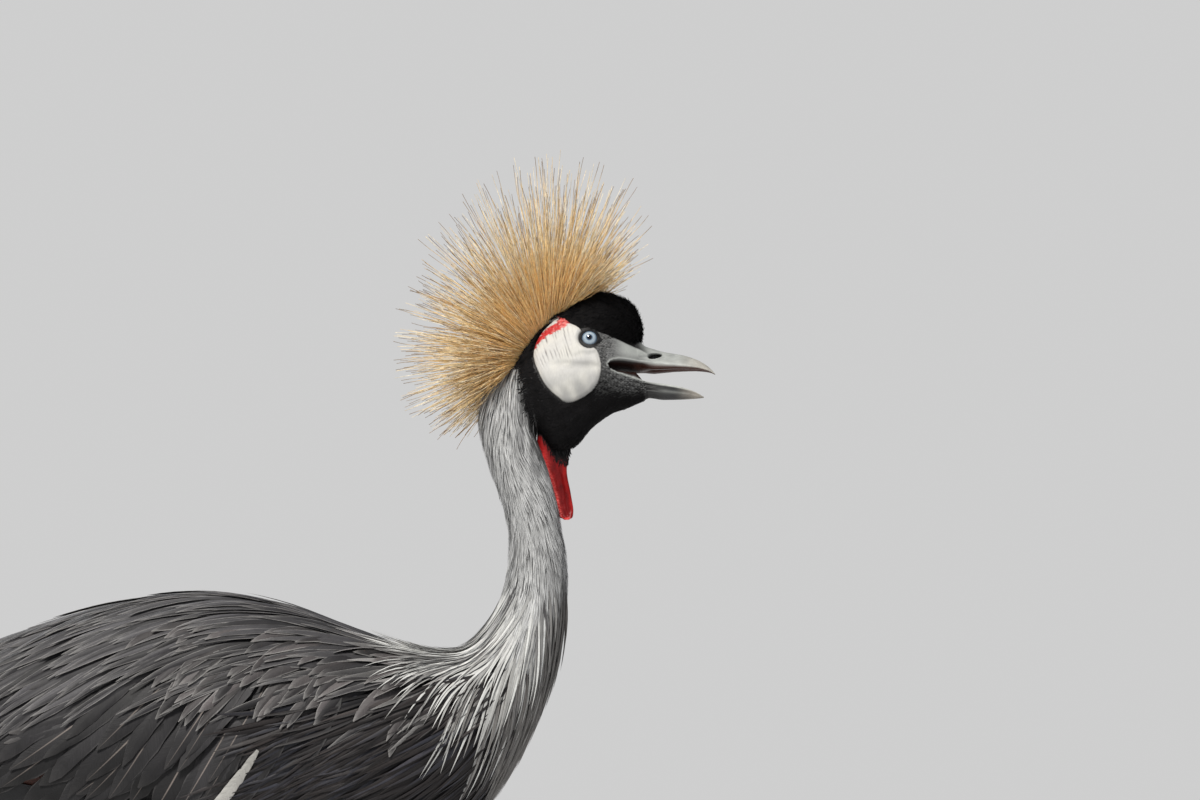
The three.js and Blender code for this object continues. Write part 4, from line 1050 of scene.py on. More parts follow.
def cap():
    """The velvet cushion of the forehead: a full lobe that narrows to a brow behind the eye."""
    polar = np.radians(np.linspace(3, 177, 90))[:, None]
    turn = np.radians(np.linspace(0, 360, 121))[None]
    way = stack(np.cos(turn) * np.sin(polar), np.cos(polar), np.sin(turn) * np.sin(polar))
    flat = way[..., ::2] / (size_of(way[..., ::2]) + 1e-6)
    square = (np.abs(flat) ** 3.4).sum(-1) ** (-1 / 3.4) - 1
    fuller = 1 + square * ease(way[..., 0], 0, 0.5) * (way[..., 2] < 0)
    lobe = way * stack(fuller, 1, fuller) * stack(np.where(way[..., 0] > 0, 34.0, 30.0), 18.5, 26.2)
    lobe = lobe + [260, 0, 827.4]
    lobe = lobe + way * (ripple(lobe, 17, 51) * 0.7 + ripple(lobe, 7, 52) * 0.3)[..., None]
    low = np.interp(lobe[..., 0], *CAP_EDGE) - 2.5 * (1 - (np.abs(lobe[..., 1]) / 19) ** 2)
    sunk = np.minimum(lobe[..., 2] - low, 0)
    lobe[..., 2] -= sunk * 0.8
    lobe[..., 1] *= 1 - np.clip(-sunk / 60, 0, 0.25)
    x, y, z = np.moveaxis(way * [18.5, 14.0, 11.5], -1, 0)
    cos, sin = math.cos(BROW_LEAN), math.sin(BROW_LEAN)
    brow = stack(x * cos + z * sin, y, z * cos + x * sin) + [239, 0, 831.5]
    coat = Coat()
    for form, count, seed in ((lobe, 22500, 53), (brow, 7000, 54)):
        spots = scattered(form, count, seed)
        root = pick(form, *spots)
        out = unit(pick(way, *spots))
        shown = root[:, 2] > np.interp(root[:, 0], *CAP_SHOWN)
        root, out = root[shown], out[shown]
        back = unit(unit(np.array([-1, 0, -0.25])) + 0.35 * rng.normal(size=root.shape))
        base = BLACK * (1 + 0.35 * ripple(root, 9, 55)[:, None])
        place = stack(0.6 + 0.1 * root[:, 1] / 20, 0.97 + 0.02 * (root[:, 0] - 263) / 40)
        length = 3.6 + 2.6 * even(root) ** 4
        tufts(coat, roll(root), roll_way(out), roll_way(back), base, length, 0.8, place, 0.8, 0.45)
    for name, form, nodes in (("cap_lobe", lobe, ["cap"]), ("cap_brow", brow, [])):
        tint = BLACK * (1 + 0.25 * ripple(form, 6, 56)[..., None])
        piece(name, roll(form), quads(*form.shape[:2]), tint, VELVET, "black", nodes)
    coat.build("cap_velvet", VELVET, "black")


def velvet():
    """The short black plumage of the face and throat."""
    coat = Coat()
    at = rng.uniform(18.5, 29.8, 76000)
    angle = even(at, 0.1, TURN - 0.1)
    steps = (flesh.point(at + STEP, angle), flesh.point(at, angle + STEP))
    along, across = ((point - flesh.point(at, angle)) / STEP for point in steps)
    spread = np.cross(along, across)
    area = np.linalg.norm(spread, axis=-1)
    chosen = area > even(at, 0, np.quantile(area, 0.93))
    at, angle, spread = at[chosen], angle[chosen], spread[chosen]
    upright = flesh.point(at, angle, upright=True)
    _, colour = face(upright)
    turn = off_top(angle)
    up, down = lips_at(at)
    open_mouth = (at > 27) & (turn > up - 0.1) & (turn < down + 0.1)
    bare = (colour.sum(-1) > 0.03 + 0.1 * even(at) ** 2) & (at > 22)
    keep = ~open_mouth & ~bare & (black_face(upright) > even(at, 0.4, 0.98))
    keep &= np.hypot(upright[:, 0] - EYE[0], upright[:, 2] - EYE[2]) > 11
    at, angle, upright, spread = at[keep], angle[keep], upright[keep], spread[keep]
    here = flesh.point(at, angle)
    normal = unit(spread) * np.sign(dot(spread, flesh.point(at, angle, 1) - here))
    back = unit(flesh.point(at - 0.05, angle) - here)
    back = unit(back + 0.16 * rng.normal(size=back.shape))
    base = BLACK * (1 + 0.3 * ripple(upright, 8, 61)[:, None])
    x, z = upright[:, 0], upright[:, 2]
    behind = ease(cheek_distance(x, z), -8, -6) * (1 - ease(x + 800 - z, 205, 215))
    size = 4.0 + 2.4 * (1 - ease(at, 20, 23)) + 2.5 * behind
    lift = (0.62 + 0.4 * behind)[:, None]
    root = flesh.point(at, angle, -1.1)
    tufts(coat, root, normal, back, base, size, 0.85, unwrap(at, angle), lift, 0.6)
    coat.build("face_velvet", VELVET, "black")


# Wattle


def wattle():
    """A loose sac of bare skin: two long rolled edges, wrinkles between, and a curled foot."""
    z, rear, front = (row[:, None] for row in curve(WATTLE, 22).T)
    fall = np.linspace(0, 1, len(z))[:, None]
    turn = around(64)
    cos, sin = np.cos(turn), np.sin(turn)
    middle, half = (rear + front) / 2, (front - rear) / 2
    half = half + 0.35 * np.sin(fall * 31) * (cos < 0)
    x = middle + half * np.sign(cos) * np.abs(cos) ** 0.85
    across = np.clip((x - middle) / half, -1, 1)
    edge_rear, edge_front = bell(across, 0.3, -0.7), bell(across, 0.22, 0.86)
    thick = 1.5 + 1.5 * edge_rear + 1.1 * edge_front + 2.0 * ease(fall, 0.8, 0.97)
    y = thick * np.sign(sin) * np.abs(sin) ** 0.7
    loose = np.sin(fall * np.pi)
    folds = np.sin(across * 9 + np.sin(fall * 12) * 1.4) * 0.5 * loose
    sway = 2.2 * np.sin(fall * 5.2) * fall
    points = stack(x, y + folds + sway, z + 0.8 * loose * np.sin(across * 6 + fall * 20))
    rear_share = edge_rear * ease(fall, 0.02, 0.2) * (1 - 0.6 * ease(fall, 0.6, 0.8))
    foot = ease(fall, 0.84, 0.94)
    warts = ripple(points, 1.7, 74, 9)
    points[..., 1] += np.sign(sin) * 0.3 * warts * np.maximum(rear_share, 0.6 * foot)
    # Painted light: the rear rolled edge and the foot are a brighter red where the light falls on them,
    # with painted pink highlights on their warts.
    tint = mix(srgb(104, 2, 4), srgb(150, 12, 8), 0.8 * edge_front)
    tint = mix(tint, srgb(190, 34, 34), 0.95 * np.maximum(rear_share, foot * 0.8))
    painted_highlight = rear_share * ease(fall, 0.1, 0.3) + 0.7 * foot * ease(across, -0.4, 0.2)
    tint = mix(tint, srgb(236, 118, 110), 0.75 * painted_highlight * ease(warts, -0.5, 0.7))
    tint = tint * (1 + 0.18 * ripple(points, 5, 71))[..., None]
    border = np.interp(z, [700, 714, 718, 725, 735, 741], [250, 240, 230, 224, 218, 215])
    black = ease(x - border + ripple(points, 4, 75), -1, 2) * ease(z, 714, 723)
    black = np.maximum(black, ease(z, 736, 739.5))
    tint = mix(tint, BLACK * 0.6, black)
    piece("wattle_sac", *capped(points), capped_tint(tint), WATTLE_MATERIAL, "wattle_red", ["wattle"])
    spots = scattered(points, 2600, 73)
    keep = pick(black, *spots) > 0.45
    spots = [part[keep] for part in spots]
    root = pick(points, *spots)
    out = unit(stack(0, pick(sin + 0 * across, *spots), 0) + 1e-3)
    down = np.array([0.1, 0, -1.0]) + 0.2 * rng.normal(size=root.shape)
    place = stack(0.5 + root[:, 1] / 400, 0.72 + (root[:, 2] - 700) / 2000)
    coat = Coat()
    tufts(coat, root, out, down, BLACK * np.ones_like(root), 4.2, 0.85, place, 0.35, 0.6, rows=4)
    coat.build("wattle_velvet", VELVET, "black")


# Crest


def bristles(coat, count, limits, radius, rows, wave, colours, seed, spread=1.0):
    """Stiff twisted bristles that fan out from the back of the crown. The limits are the least
    and greatest share of the crest's reach; without them they are long and ragged."""
    draw = np.random.default_rng(seed)
    along = (np.arange(count) + draw.uniform(0.1, 0.9, count)) / count
    side = draw.uniform(-1, 1, count)
    stations = np.linspace(0, 1, len(CREST_ROOTS[0]))
    foot_x, foot_z = (np.interp(along, stations, row) for row in CREST_ROOTS)
    foot = stack(foot_x, 8.5 * side, foot_z - 2)
    lean = np.radians(CREST_LEAN[0] + (CREST_LEAN[1] - CREST_LEAN[0]) * along)
    lean = lean + draw.normal(0, 0.06, count)
    tip_side = np.arcsin(np.clip(CREST_SPREAD * spread * side + draw.normal(0, 0.05, count), -0.97, 0.97))
    way = stack(np.cos(lean) * np.cos(tip_side), np.sin(tip_side), np.sin(lean) * np.cos(tip_side))
    reach = np.interp(along * (len(CREST_REACH) - 1), np.arange(len(CREST_REACH)), CREST_REACH)
    if limits:
        size = reach * draw.uniform(*limits, count)
    else:
        whole = draw.uniform(0, 1, count) < 0.55
        tall, worn = draw.uniform(0.84, 1.02, count), draw.uniform(0.5, 0.88, count)
        size = reach * (1 - 0.16 * side**2) * np.where(whole, tall, worn)
    u = np.linspace(0, 1, rows)
    run = size[:, None] * u
    sideways = unit(np.cross(way, draw.normal(size=(count, 3))))
    second = np.cross(way, sideways)
    bow = draw.normal(0, 0.045, (count, 1)) * size[:, None] * u**2
    phase = draw.uniform(0, 6.3, (2, count, 1))
    pitch = draw.uniform(7, 15, (count, 1))
    swing = wave * u * (1 - 0.3 * u)
    first_swing = np.sin(u * pitch + phase[0]) * swing + bow
    second_swing = np.cos(u * pitch * 0.9 + phase[1]) * swing
    centre = foot[:, None] + way[:, None] * run[..., None]
    centre = centre + sideways[:, None] * first_swing[..., None] + second[:, None] * second_swing[..., None]
    centre[..., 2] -= 0.02 * run * u * np.abs(np.cos(lean))[:, None]
    corner = np.radians([0, 120, 240]) + draw.uniform(0, 2, (count, 1, 1)) + (u * 9)[None, :, None]
    thick = (radius[0] + (radius[1] - radius[0]) * u)[None] * draw.uniform(0.8, 1.2, (count, 1))
    ring = sum(
        axis[:, None, None] * (share * thick[..., None])[..., None]
        for axis, share in ((sideways, np.cos(corner)), (second, np.sin(corner)))
    )
    tint = colours(draw.uniform(0, 1, count), u, draw)[:, :, None]
    offset = draw.uniform(0, 300, count)[:, None, None]
    vane = stack(corner * 0.1, run[..., None] + offset)
    place = stack(0.5 + 0.06 * side, 0.78 + 0.1 * along)
    coat.add(roll(centre[:, :, None] + ring), tint, vane, place, closed=True)


def straw_tint(share, u, draw):
    """Straw bristles: each its own shade, banded, browner at the root and dark at the tip."""
    n = len(share)
    base = mix(GOLD, GOLD_LIGHT, ease(share, 0.35, 0.95))
    base = mix(base, GOLD_DARK, ease(share, 0.3, 0.0) * 0.8)
    bands = 0.5 + 0.5 * np.sin(u[None] * draw.uniform(9, 18, (n, 1)) + draw.uniform(0, 6.3, (n, 1)))
    colour = mix(base[:, None], GOLD_DARK, 0.3 * bands**2)
    colour = mix(colour, GOLD_CORE, 0.7 * (1 - ease(u, 0.1, 0.5))[None])
    tip = ease(u, 0.82, 0.97)[None] * (share < 0.6)[:, None]
    return mix(colour, GOLD_DARK * 0.3, tip * 0.85)


def core_tint(share, u, draw):
    """The dense short bristles at the root, orange-tan in the depth."""
    base = mix(GOLD_CORE, GOLD, share)
    dark = 0.75 + 0.25 * ease(u, 0.0, 0.5)
    return base[:, None] * dark[None, :, None] * (0.85 + 0.3 * draw.uniform(0, 1, (len(share), 1, 1)))


def crest():
    coat = Coat()
    bristles(coat, 960, None, (0.42, 0.2), 19, 1.1, straw_tint, 81)
    bristles(coat, 1150, (0.45, 0.82), (0.36, 0.17), 12, 1.1, straw_tint, 82)
    coat.build("crest_bristles", BRISTLES, "gold", ["crest"])
    coat = Coat()
    bristles(coat, 2600, (0.2, 0.5), (0.4, 0.2), 6, 0.8, core_tint, 83, spread=1.05)
    coat.build("crest_core", BRISTLES, "gold")


upper_lip, lower_lip = skin()
bill_half("upper_bill", UPPER_BILL, False, "bill_upper", upper_lip)
bill_half("lower_bill", LOWER_BILL, True, "bill_lower", lower_lip)
for name, side in SIDES:
    eyeball(name, side)
    eyelids(name, side)
cap()
velvet()
wattle()
crest()


# Body plumage


def place_colour(at, angle):
    """The plumage colour at a place of the body."""
    return markings(at, angle, flesh.point(at, angle, upright=True))


def jittered(base, amount):
    """Gives each feather its own shade of a colour."""
    return base * rng.normal(1, amount, (len(base), 1)).clip(0.6, 1.5)


def clump(at, angle, amount, size=45, seed=91):
    """Turns neighbouring feathers together, so that they part and gather in locks."""
    return amount * ripple(body.point(at, angle), size, seed)


def plumage(name, at, angle, base, surface=body, material=PLUMAGE, slot="slate", **settings):
    """One piece of feathers, laid on a surface."""
    coat = Coat()
    lay(coat, surface, at, angle, base, **settings)
    coat.build(name, material, slot)


def mantle():
    """Long narrow grey feathers of the back, with paler edges."""
    at, angle = staggered(body, 12.6, 3.4, (0.02, 0.98), (27, 5), 101, jitter=0.5)
    shown = np.abs(angle) < 0.98 - 0.3 * even(at) ** 2
    at, angle = at[shown], angle[shown]
    base = jittered(place_colour(np.minimum(at, 10.5), angle), 0.2)
    base = mix(base, SLATE_PALE, 0.6 * ease(at, 9.8, 12.5))
    heading = 0.1 + 0.3 * np.abs(angle) + clump(at, angle, 0.15) + random(at, 0.05)
    plumage("mantle", at, angle, base, heading=heading, curl=0.12, length=122 - 6 * np.abs(at - 8),
            width=8.4, rows=11, columns=NARROW, levels=(-4.0, 1.6), camber=0.3,
            tilt=clump(at, angle, 0.5, 14, 92), edge_share=0.6, shaft=SLATE_DARK * 0.6,
            shaft_share=0.5, tone=0.28, root_dark=0.25)


def shoulder():
    """Short curled brown-grey feathers over the shoulder, each with a pale rim."""
    at, angle = staggered(body, 10.2, 5.9, (0.42, 1.04), (12, 13), 113, jitter=0.5)
    shown = clump(at, angle, 1, 30, 115) + 2.6 * (np.abs(angle) - 0.42) > 0.1
    at, angle = at[shown], angle[shown]
    base = jittered(mix(SLATE_DARK, srgb(78, 74, 74), even(at)), 0.15)
    plumage("shoulder", at, angle, base, aim=20 + 18 * np.abs(angle) + random(at, 8),
            heading=clump(at, angle, 0.2, 30, 116), curl=0.3, length=60, width=12, rows=10,
            columns=NARROW, outline=SCAPULAR, levels=(-4.6, 1.9), camber=0.28,
            tilt=clump(at, angle, 0.5, 15, 114), edge_share=0.6, shaft=SLATE_DARK,
            shaft_share=0.3, tone=0.2, root_dark=0.25)


def scapulars():
    """Long broad feathers that slant down over the wing, each with a thin pale shaft."""
    at, angle = staggered(body, 8.2, 3.0, (0.74, 1.56), (13, 31), 103, jitter=0.5)
    shown = np.abs(angle) < 1.56 - 0.5 * np.maximum(at - 6.6, 0)
    at, angle = at[shown], angle[shown]
    turn = np.abs(angle)
    base = jittered(mix(SLATE_DARK, SLATE, even(at, 0, 0.7)), 0.14)
    # Painted shade: lower down the side the scapulars are darker, and their tips too, as they hang away
    # from the light above.
    base = base * (0.85 - 0.57 * ease(turn, 0.95, 1.5))[:, None]
    ahead = ease(at, 3.6, 7.4)
    plumage("scapulars", at, angle, base, aim=34 + 32 * ahead + random(at, 5),
            heading=clump(at, angle, 0.08), curl=-0.12,
            length=(152 - 34 * ahead) * (1 - 0.42 * ease(turn, 1.0, 1.5)), width=25 - 3 * ahead,
            rows=14, columns=VANED, outline=SCAPULAR, levels=(-6.0, 1.2 - 0.7 * turn), camber=0.1,
            tilt=(0.2 + clump(at, angle, 0.14, 30, 94)) * np.sign(angle), edge=srgb(100, 98, 98),
            edge_share=0.34, shaft=srgb(168, 156, 148), shaft_share=0.7 * (even(at) > 0.5),
            tone=0.24, root_dark=0.3, tip_dark=0.55)


def breast():
    """Long loose dark plumes of the breast, which hang over the front of the wing."""
    at, angle = staggered(body, 12.4, 6.2, (1.06, np.pi - 0.02), (11, 5.2), 105)
    shown = np.abs(angle) > np.interp(at, [6.2, 6.6, 7.4, 8], [2.0, 1.6, 1.2, 1.06])
    at, angle = at[shown], angle[shown]
    base = jittered(mix(BREAST, BREAST_EDGE, 0.5 * even(at) ** 2.4), 0.2)
    # Painted blue glint: about a quarter of the breast plumes are blue-grey.
    base = mix(base, srgb(54, 57, 68), 0.5 * (even(at) > 0.75))
    plumage("breast", at, angle, base, aim=36 + 14 * ease(at, 9, 12) + random(at, 3),
            heading=clump(at, angle, 0.2, 40, 95), curl=-0.25, length=86, width=4.6, rows=9,
            levels=(-3.0, 1.8), camber=0.3, tilt=clump(at, angle, 0.5, 14, 96), wave=0.7,
            edge=BREAST_EDGE * 0.8, edge_share=0.45, tone=0.3)


def belly():
    """Softer, shorter feathers under the body and round the vent."""
    at, angle = staggered(body, 7.4, 0.8, (2.25, np.pi - 0.02), (13, 8.5), 107)
    base = jittered(place_colour(at, angle), 0.12)
    plumage("belly", np.maximum(at, RUMP + 0.1), angle, base, flesh,
            heading=clump(at, angle, 0.2, 50, 97), length=52, width=9, rows=7, outline=BROAD,
            levels=(-1.0, 5.0), camber=0.3, tilt=clump(at, angle, 0.25, 20, 98), edge_share=0.3,
            tone=0.12)


def neck():
    """Fine hair-like feathers down the neck, in locks that part to the darker down."""
    at, angle = staggered(flesh, 24.4, 12.6, (0.03, np.pi - 0.02), (3.6, 1.55), 109)
    upright = flesh.point(at, angle, upright=True)
    black = black_face(upright)
    keep = (black < even(at, 0.5, 1.0)) & (at < 23.8 + 0.5 * even(at, -1, 1))
    at, angle, upright, black = at[keep], angle[keep], upright[keep], black[keep]
    turn = np.abs(angle)
    lock = ripple(upright * [1, 1, 0.3], 6, 99)
    base = markings(np.maximum(at, 13), angle, upright)
    base = base * (1 + 0.08 * lock + random(at, 0.06))[:, None]
    base = mix(base, BLACK, ease(black + random(at, 0.35), 0.15, 0.7) * 0.85)
    base = mix(base, NECK_DARK, 0.4 * ease(turn, 2.4, 3.1) * even(at, 0.2))
    base = mix(base, srgb(48, 43, 41), 0.9 * ease(turn, 1.8, 2.5) * ease(15.6 - at, 0, 2.4))
    loose = ease(15.4 - at, 0, 2.6)
    down = flesh.point(at - 0.05, angle) - flesh.point(at, angle)
    natural = np.degrees(np.arctan2(-down[:, 2], -down[:, 0]))
    plumage("neck_hair", at, angle, base, flesh, HAIRLIKE, "pale_grey",
            aim=natural + (86 - natural) * ease(at, 18.6, 20.6), heading=clump(at, angle, 0.14, 24, 100),
            curl=0.08, length=21 + 12 * loose, width=1.15 + 0.7 * loose, rows=5, outline=HAIR,
            levels=(-2.6, 0.4 + 0.5 * lock), camber=0.2, tilt=0.3 * ripple(upright, 9, 104), wave=0.2,
            tone=0.07, root_dark=0.7)


def plumes():
    """Pale narrow plumes that fan from the neck's foot over the breast and shoulders."""
    at, angle = staggered(body, 14.8, 11.0, (0.02, np.pi - 0.02), (5.6, 3.3), 111)
    turn = np.abs(angle)
    lock = clump(at, angle, 1, 13, 112)
    pale = mix(PLUME, SLATE, ease(lock + random(at, 0.5), -0.1, 1.0))
    ahead = turn + 0.5 * ease(13.6 - at, 0, 1.4) + random(at, 0.25)
    base = jittered(mix(pale, srgb(50, 44, 42), 0.9 * ease(ahead, 1.6, 2.25)), 0.08)
    fan = np.interp(turn, [0, 0.5, 1.0, 1.5, 2.0, 2.6, 3.14], [8, 24, 50, 78, 94, 96, 84])
    aim = fan + 9 * lock + random(at, 3)
    length = (64 + 42 * even(at) ** 1.5) * np.interp(turn, [0.2, 0.8, 2.4, 3], [0.7, 1, 1, 0.8])
    plumage("neck_plumes", at, angle, base, body, HAIRLIKE, "pale_grey", aim=aim,
            curl=0.14 - 0.3 * ease(turn, 1.0, 1.6), length=length, width=2.4, rows=10,
            levels=(-2.4, 2.6 + 1.3 * lock), camber=0.3, tilt=0.4 * lock, wave=0.6, edge=WHITE,
            edge_share=0.2, tone=0.08, root_dark=0.75)


# Wings and tail


def flight(coat, roots, tips, width, level, colour, edge, outline=LONG, camber=0.12, bow=0.0, **colours):
    """Long feathers on both wings between roots and tips: each (at, angle in degrees)."""
    roots, tips = (both_sides(stack(at, np.radians(angle)), [1, -1]) for at, angle in (roots, tips))
    n = len(roots)
    u = np.linspace(0, 1, 18)
    at, angle = (roots[:, i : i + 1] + (tips - roots)[:, i : i + 1] * u for i in (0, 1))
    angle = angle + bow * np.sin(np.pi * u) * np.sign(tips[:, 1:])
    level = both_sides(np.broadcast_to(level, n // 2))[:, None]
    here = body.point(at, angle, level)
    normal = unit(body.point(at, angle, level + 1) - here)
    across = unit(np.cross(normal, unit(np.gradient(here, axis=1))))
    length = np.linalg.norm(np.diff(here, axis=1), axis=-1).sum(1)
    half = taper(np.full(n, width), outline, u)
    points = sheets(here, across, normal, half, STRONG, camber)
    base = np.broadcast_to(colour, (n, 3))
    tint = feather_tint(base, u, STRONG, rng.normal(1, 0.06, n), 0.75, edge, **colours)
    coat.add(points, tint, vanes(half, STRONG, length, u), unwrap(roots[:, 0], roots[:, 1]))


def both_sides(values, flip=1):
    """Values for the right wing, then the same for the left."""
    return np.concatenate([values, values * np.array(flip)])


def wings():
    """White coverts over straw plumes, chestnut secondaries and black primaries."""
    coverts, fans, hand, straw = Coat(), Coat(), Coat(), Coat()
    at, angle = staggered(body, 8.0, 4.3, (2.05, 2.42), (12.5, 9), 121)
    base = jittered(np.broadcast_to(WHITE, (len(at), 3)), 0.03)
    top = -8.0 + 5.4 * ease(np.abs(angle), 2.0, 2.12)
    lay(coverts, body, at, angle, base, heading=0.05 + clump(at, angle, 0.06), length=58, width=23,
        rows=9, columns=VANED, outline=BROAD, levels=(-10.5, top), camber=0.16, edge=WHITE * 1.1,
        edge_share=0.3, shaft_share=0.35, tone=0.03, root_dark=0.85)
    roots, tips = np.array([[[6.45, 6.3], [89, 94]], [[5.62, 5.45], [119, 122]]])
    # Two long narrow white feathers over the coverts, dimmed to 0.6 of the white: painted shade.
    flight(coverts, roots, tips, 7.5, 1.9, WHITE * 0.6, WHITE * 0.6, SCAPULAR, shaft_share=0.2)
    coverts.build("wing_coverts", PLUMAGE, "white", ["wing_arm_right", "wing_arm_left"])

    share, count = np.linspace(0, 1, 14), np.arange(14)
    roots = (4.9 - 0.9 * share, 64 + 66 * share)
    tips = (0.35 - 0.1 * share + 0.9 * share**2, 44 + 86 * share)
    flight(fans, roots, tips, 32, -7.0 - 0.3 * count, CHESTNUT, CHESTNUT * 0.6, bow=0.05,
           edge_share=0.5, shaft=CHESTNUT * 0.4, shaft_share=0.5)
    fans.build("secondaries", FLIGHT, "black")

    share, count = np.linspace(0, 1, 9), np.arange(9)
    roots = (5.6 - 0.6 * share, 118 + 14 * share)
    tips = (0.2 + 1.5 * share, 106 + 27 * share)
    flight(hand, roots, tips, 25, -5.0 - 0.6 * count, PRIMARY, PRIMARY * 1.8, bow=0.04,
           edge_share=0.5, shaft=PRIMARY * 0.4, shaft_share=0.5)
    hand.build("primaries", FLIGHT, "black", ["wing_hand_right", "wing_hand_left"])

    share = rng.uniform(0, 1, 60)
    roots = (4.6 - 1.0 * share, 117 + 15 * share)
    tips = (1.6 - 0.5 * share + rng.normal(0, 0.25, 60), 118 + 12 * share + rng.normal(0, 2, 60))
    flight(straw, roots, tips, 7, even(share, -4.2, -2.6), STRAW, STRAW, LANCE, 0.3, 0.08,
           shaft=STRAW * 0.6, shaft_share=0.5)
    straw.build("straw_plumes", PLUMAGE, "gold")


def rump():
    """Long grey tertials and rump feathers that close the back over the folded wings."""
    at, angle = staggered(body, 5.2, 1.2, (0.03, 1.35), (32, 11), 123, jitter=0.45)
    base = jittered(mix(SLATE_DARK, SLATE, even(at, 0.1, 0.8)), 0.1)
    turn = np.abs(angle)
    plumage("rump", at, angle, base, heading=0.05 + 0.1 * turn + clump(at, angle, 0.08),
            length=np.interp(at, [1.2, 2.5, 5], [42, 86, 118]), width=17, rows=12, columns=VANED,
            outline=SCAPULAR, levels=(-5.0, 0.6 - 0.5 * turn), tilt=clump(at, angle, 0.08, 30, 124),
            edge=srgb(128, 124, 122), edge_share=0.4, shaft=SLATE_DARK * 0.6, shaft_share=0.4)


def tail():
    """Twelve black feathers in a shallow roof, mostly under the wings."""
    n = 12
    share = np.linspace(-1, 1, n)
    u = np.linspace(0, 1, 14)
    root = stack(-205, 9 * share, 478 - 4 * share**2)[:, None]
    tip = stack(-344 + 9 * share**2, 26 * share, 456 - 12 * share**2)[:, None]
    middle = root + (tip - root) * u[:, None] + np.array([0, 0, 5]) * np.sin(np.pi * u)[:, None]
    middle[..., 2] += (1.2 - np.abs(share))[:, None] * 3
    lean = 0.6 * share[:, None]
    normal = unit(stack(0, np.sin(lean), np.cos(lean)) * np.ones_like(middle))
    across = unit(np.cross(normal, unit(np.gradient(middle, axis=1))))
    half = taper(np.full(n, 26), LONG, u)
    points = sheets(middle, across, normal, half, TAIL_COLUMNS, 0.12)
    base = np.broadcast_to(PRIMARY, (n, 3))
    tint = feather_tint(base, u, TAIL_COLUMNS, np.ones(n), 0.8, PRIMARY * 2, 0.5, PRIMARY * 0.5, 0.5)
    vane = stack(half[..., None] * TAIL_COLUMNS, 140 * u[None, :, None])
    coat = Coat()
    coat.add(points, tint, vane, stack(0.5 + 0.02 * share, 0.03))
    coat.build("tail_feathers", FLIGHT, "black", ["tail"])


# Legs


def limb_surface(stations, spans=14):
    """A round limb as a surface whose angle starts at its front."""
    centre = curve([row[:3] for row in stations], spans)
    radius = widths([row[3] for row in stations], spans)[:, None]
    side = np.array([0.0, -1.0, 0.0])
    front = unit(np.cross(unit(np.gradient(centre, axis=0)), side))
    front = front * np.where(front[:, :1] < 0, -1, 1)
    return Surface(centre, front * radius, side * radius, spans)


def leg_stations(*pairs):
    """Places between the knee and the ankle: each a share of the way and a radius."""
    return [[x, -LEG_Y, z, radius] for share, radius in pairs for x, z in [KNEE + (ANKLE - KNEE) * share]]


def leg_skin(stations, scutes, rows):
    """A scaly limb: broad plates step down its front, small ones give the rest its grain."""
    surface = limb_surface(stations)
    first, last, count = scutes
    at = np.linspace(0, len(stations) - 1, rows)[:, None]
    turn = around(44)[None]
    front = ease(np.cos(turn), 0.25, 0.6)
    place = surface.point(at, turn)
    step = np.interp(at, [first, last], [0, count])
    saw = np.mod(step, 1)
    plate = saw**1.6 * (1 - ease(saw, 0.93, 1.0)) * ((step > 0) & (step < count))
    rear = np.sin(at * count * 1.1 + 0.7) * 0.1 + 0.18 * ripple(place * [1, 1, 0.5], 5, 131)
    points = surface.point(at, turn, 0.9 * plate * front + rear * (1 - front))
    tint = mix(srgb(44, 42, 42), srgb(20, 19, 20), 0.5 + 0.5 * ripple(place, 30, 132))
    return points, mix(tint, SCALE_JOINT, (saw > 0.9) * front * 0.8)


def toe_surface(stations, way, rows, columns):
    """The points of a toe or claw that runs in a direction over the floor."""
    surface = limb_surface(stations, 10)
    side = np.array([way[1], -way[0], 0.0])
    size = size_of(surface.rows[:, 6:9])
    top = unit(np.cross(side, unit(np.gradient(surface.rows[:, :3], axis=0)))) * size
    surface.rows[:, 3:6] = top * np.where(top[:, 2:] < 0, -1, 1)
    surface.rows[:, 6:9] = side * size
    points = surface.point(np.linspace(0, len(stations) - 1, rows)[:, None], around(columns))
    points[..., 2] = np.maximum(points[..., 2], 0.05)
    return points


def toe_skin(stations, joints, way):
    """A toe with plates over its top and soft pads under its joints."""
    rows, columns = 110, 32
    points = toe_surface(stations, way, rows, columns)
    share = np.linspace(0, 1, rows)[:, None]
    top = ease(np.cos(around(columns)), 0.2, 0.7)
    gaps = 0.5 + 0.5 * np.cos(share * joints * 2 * np.pi)
    saw = np.mod(share * joints * 4.5, 1)
    out = unit(points - points.mean(1, keepdims=True))
    lift = 0.55 * saw**1.5 * top - 0.5 * gaps * (1 - top)
    points = points + out * (lift * ease(share, 0.12, 0.3))[..., None]
    points[..., 2] = np.maximum(points[..., 2], 0.02)
    tint = mix(srgb(46, 44, 43), srgb(22, 21, 21), 0.5 + 0.5 * ripple(points, 12, 134))
    return points, mix(tint, SCALE_JOINT, (saw > 0.88) * top * 0.8)


def join(name, rings, tints, material, slot, nodes):
    """Several closed tubes as one piece."""
    start = np.cumsum([0] + [points.size // 3 for points, _ in rings])
    points = np.concatenate([points.reshape(-1, 3) for points, _ in rings])
    faces = np.concatenate([faces + first for (_, faces), first in zip(rings, start)])
    tint = np.concatenate([colour.reshape(-1, 3) for colour in tints])
    piece(name, points, faces, tint, material, slot, nodes)


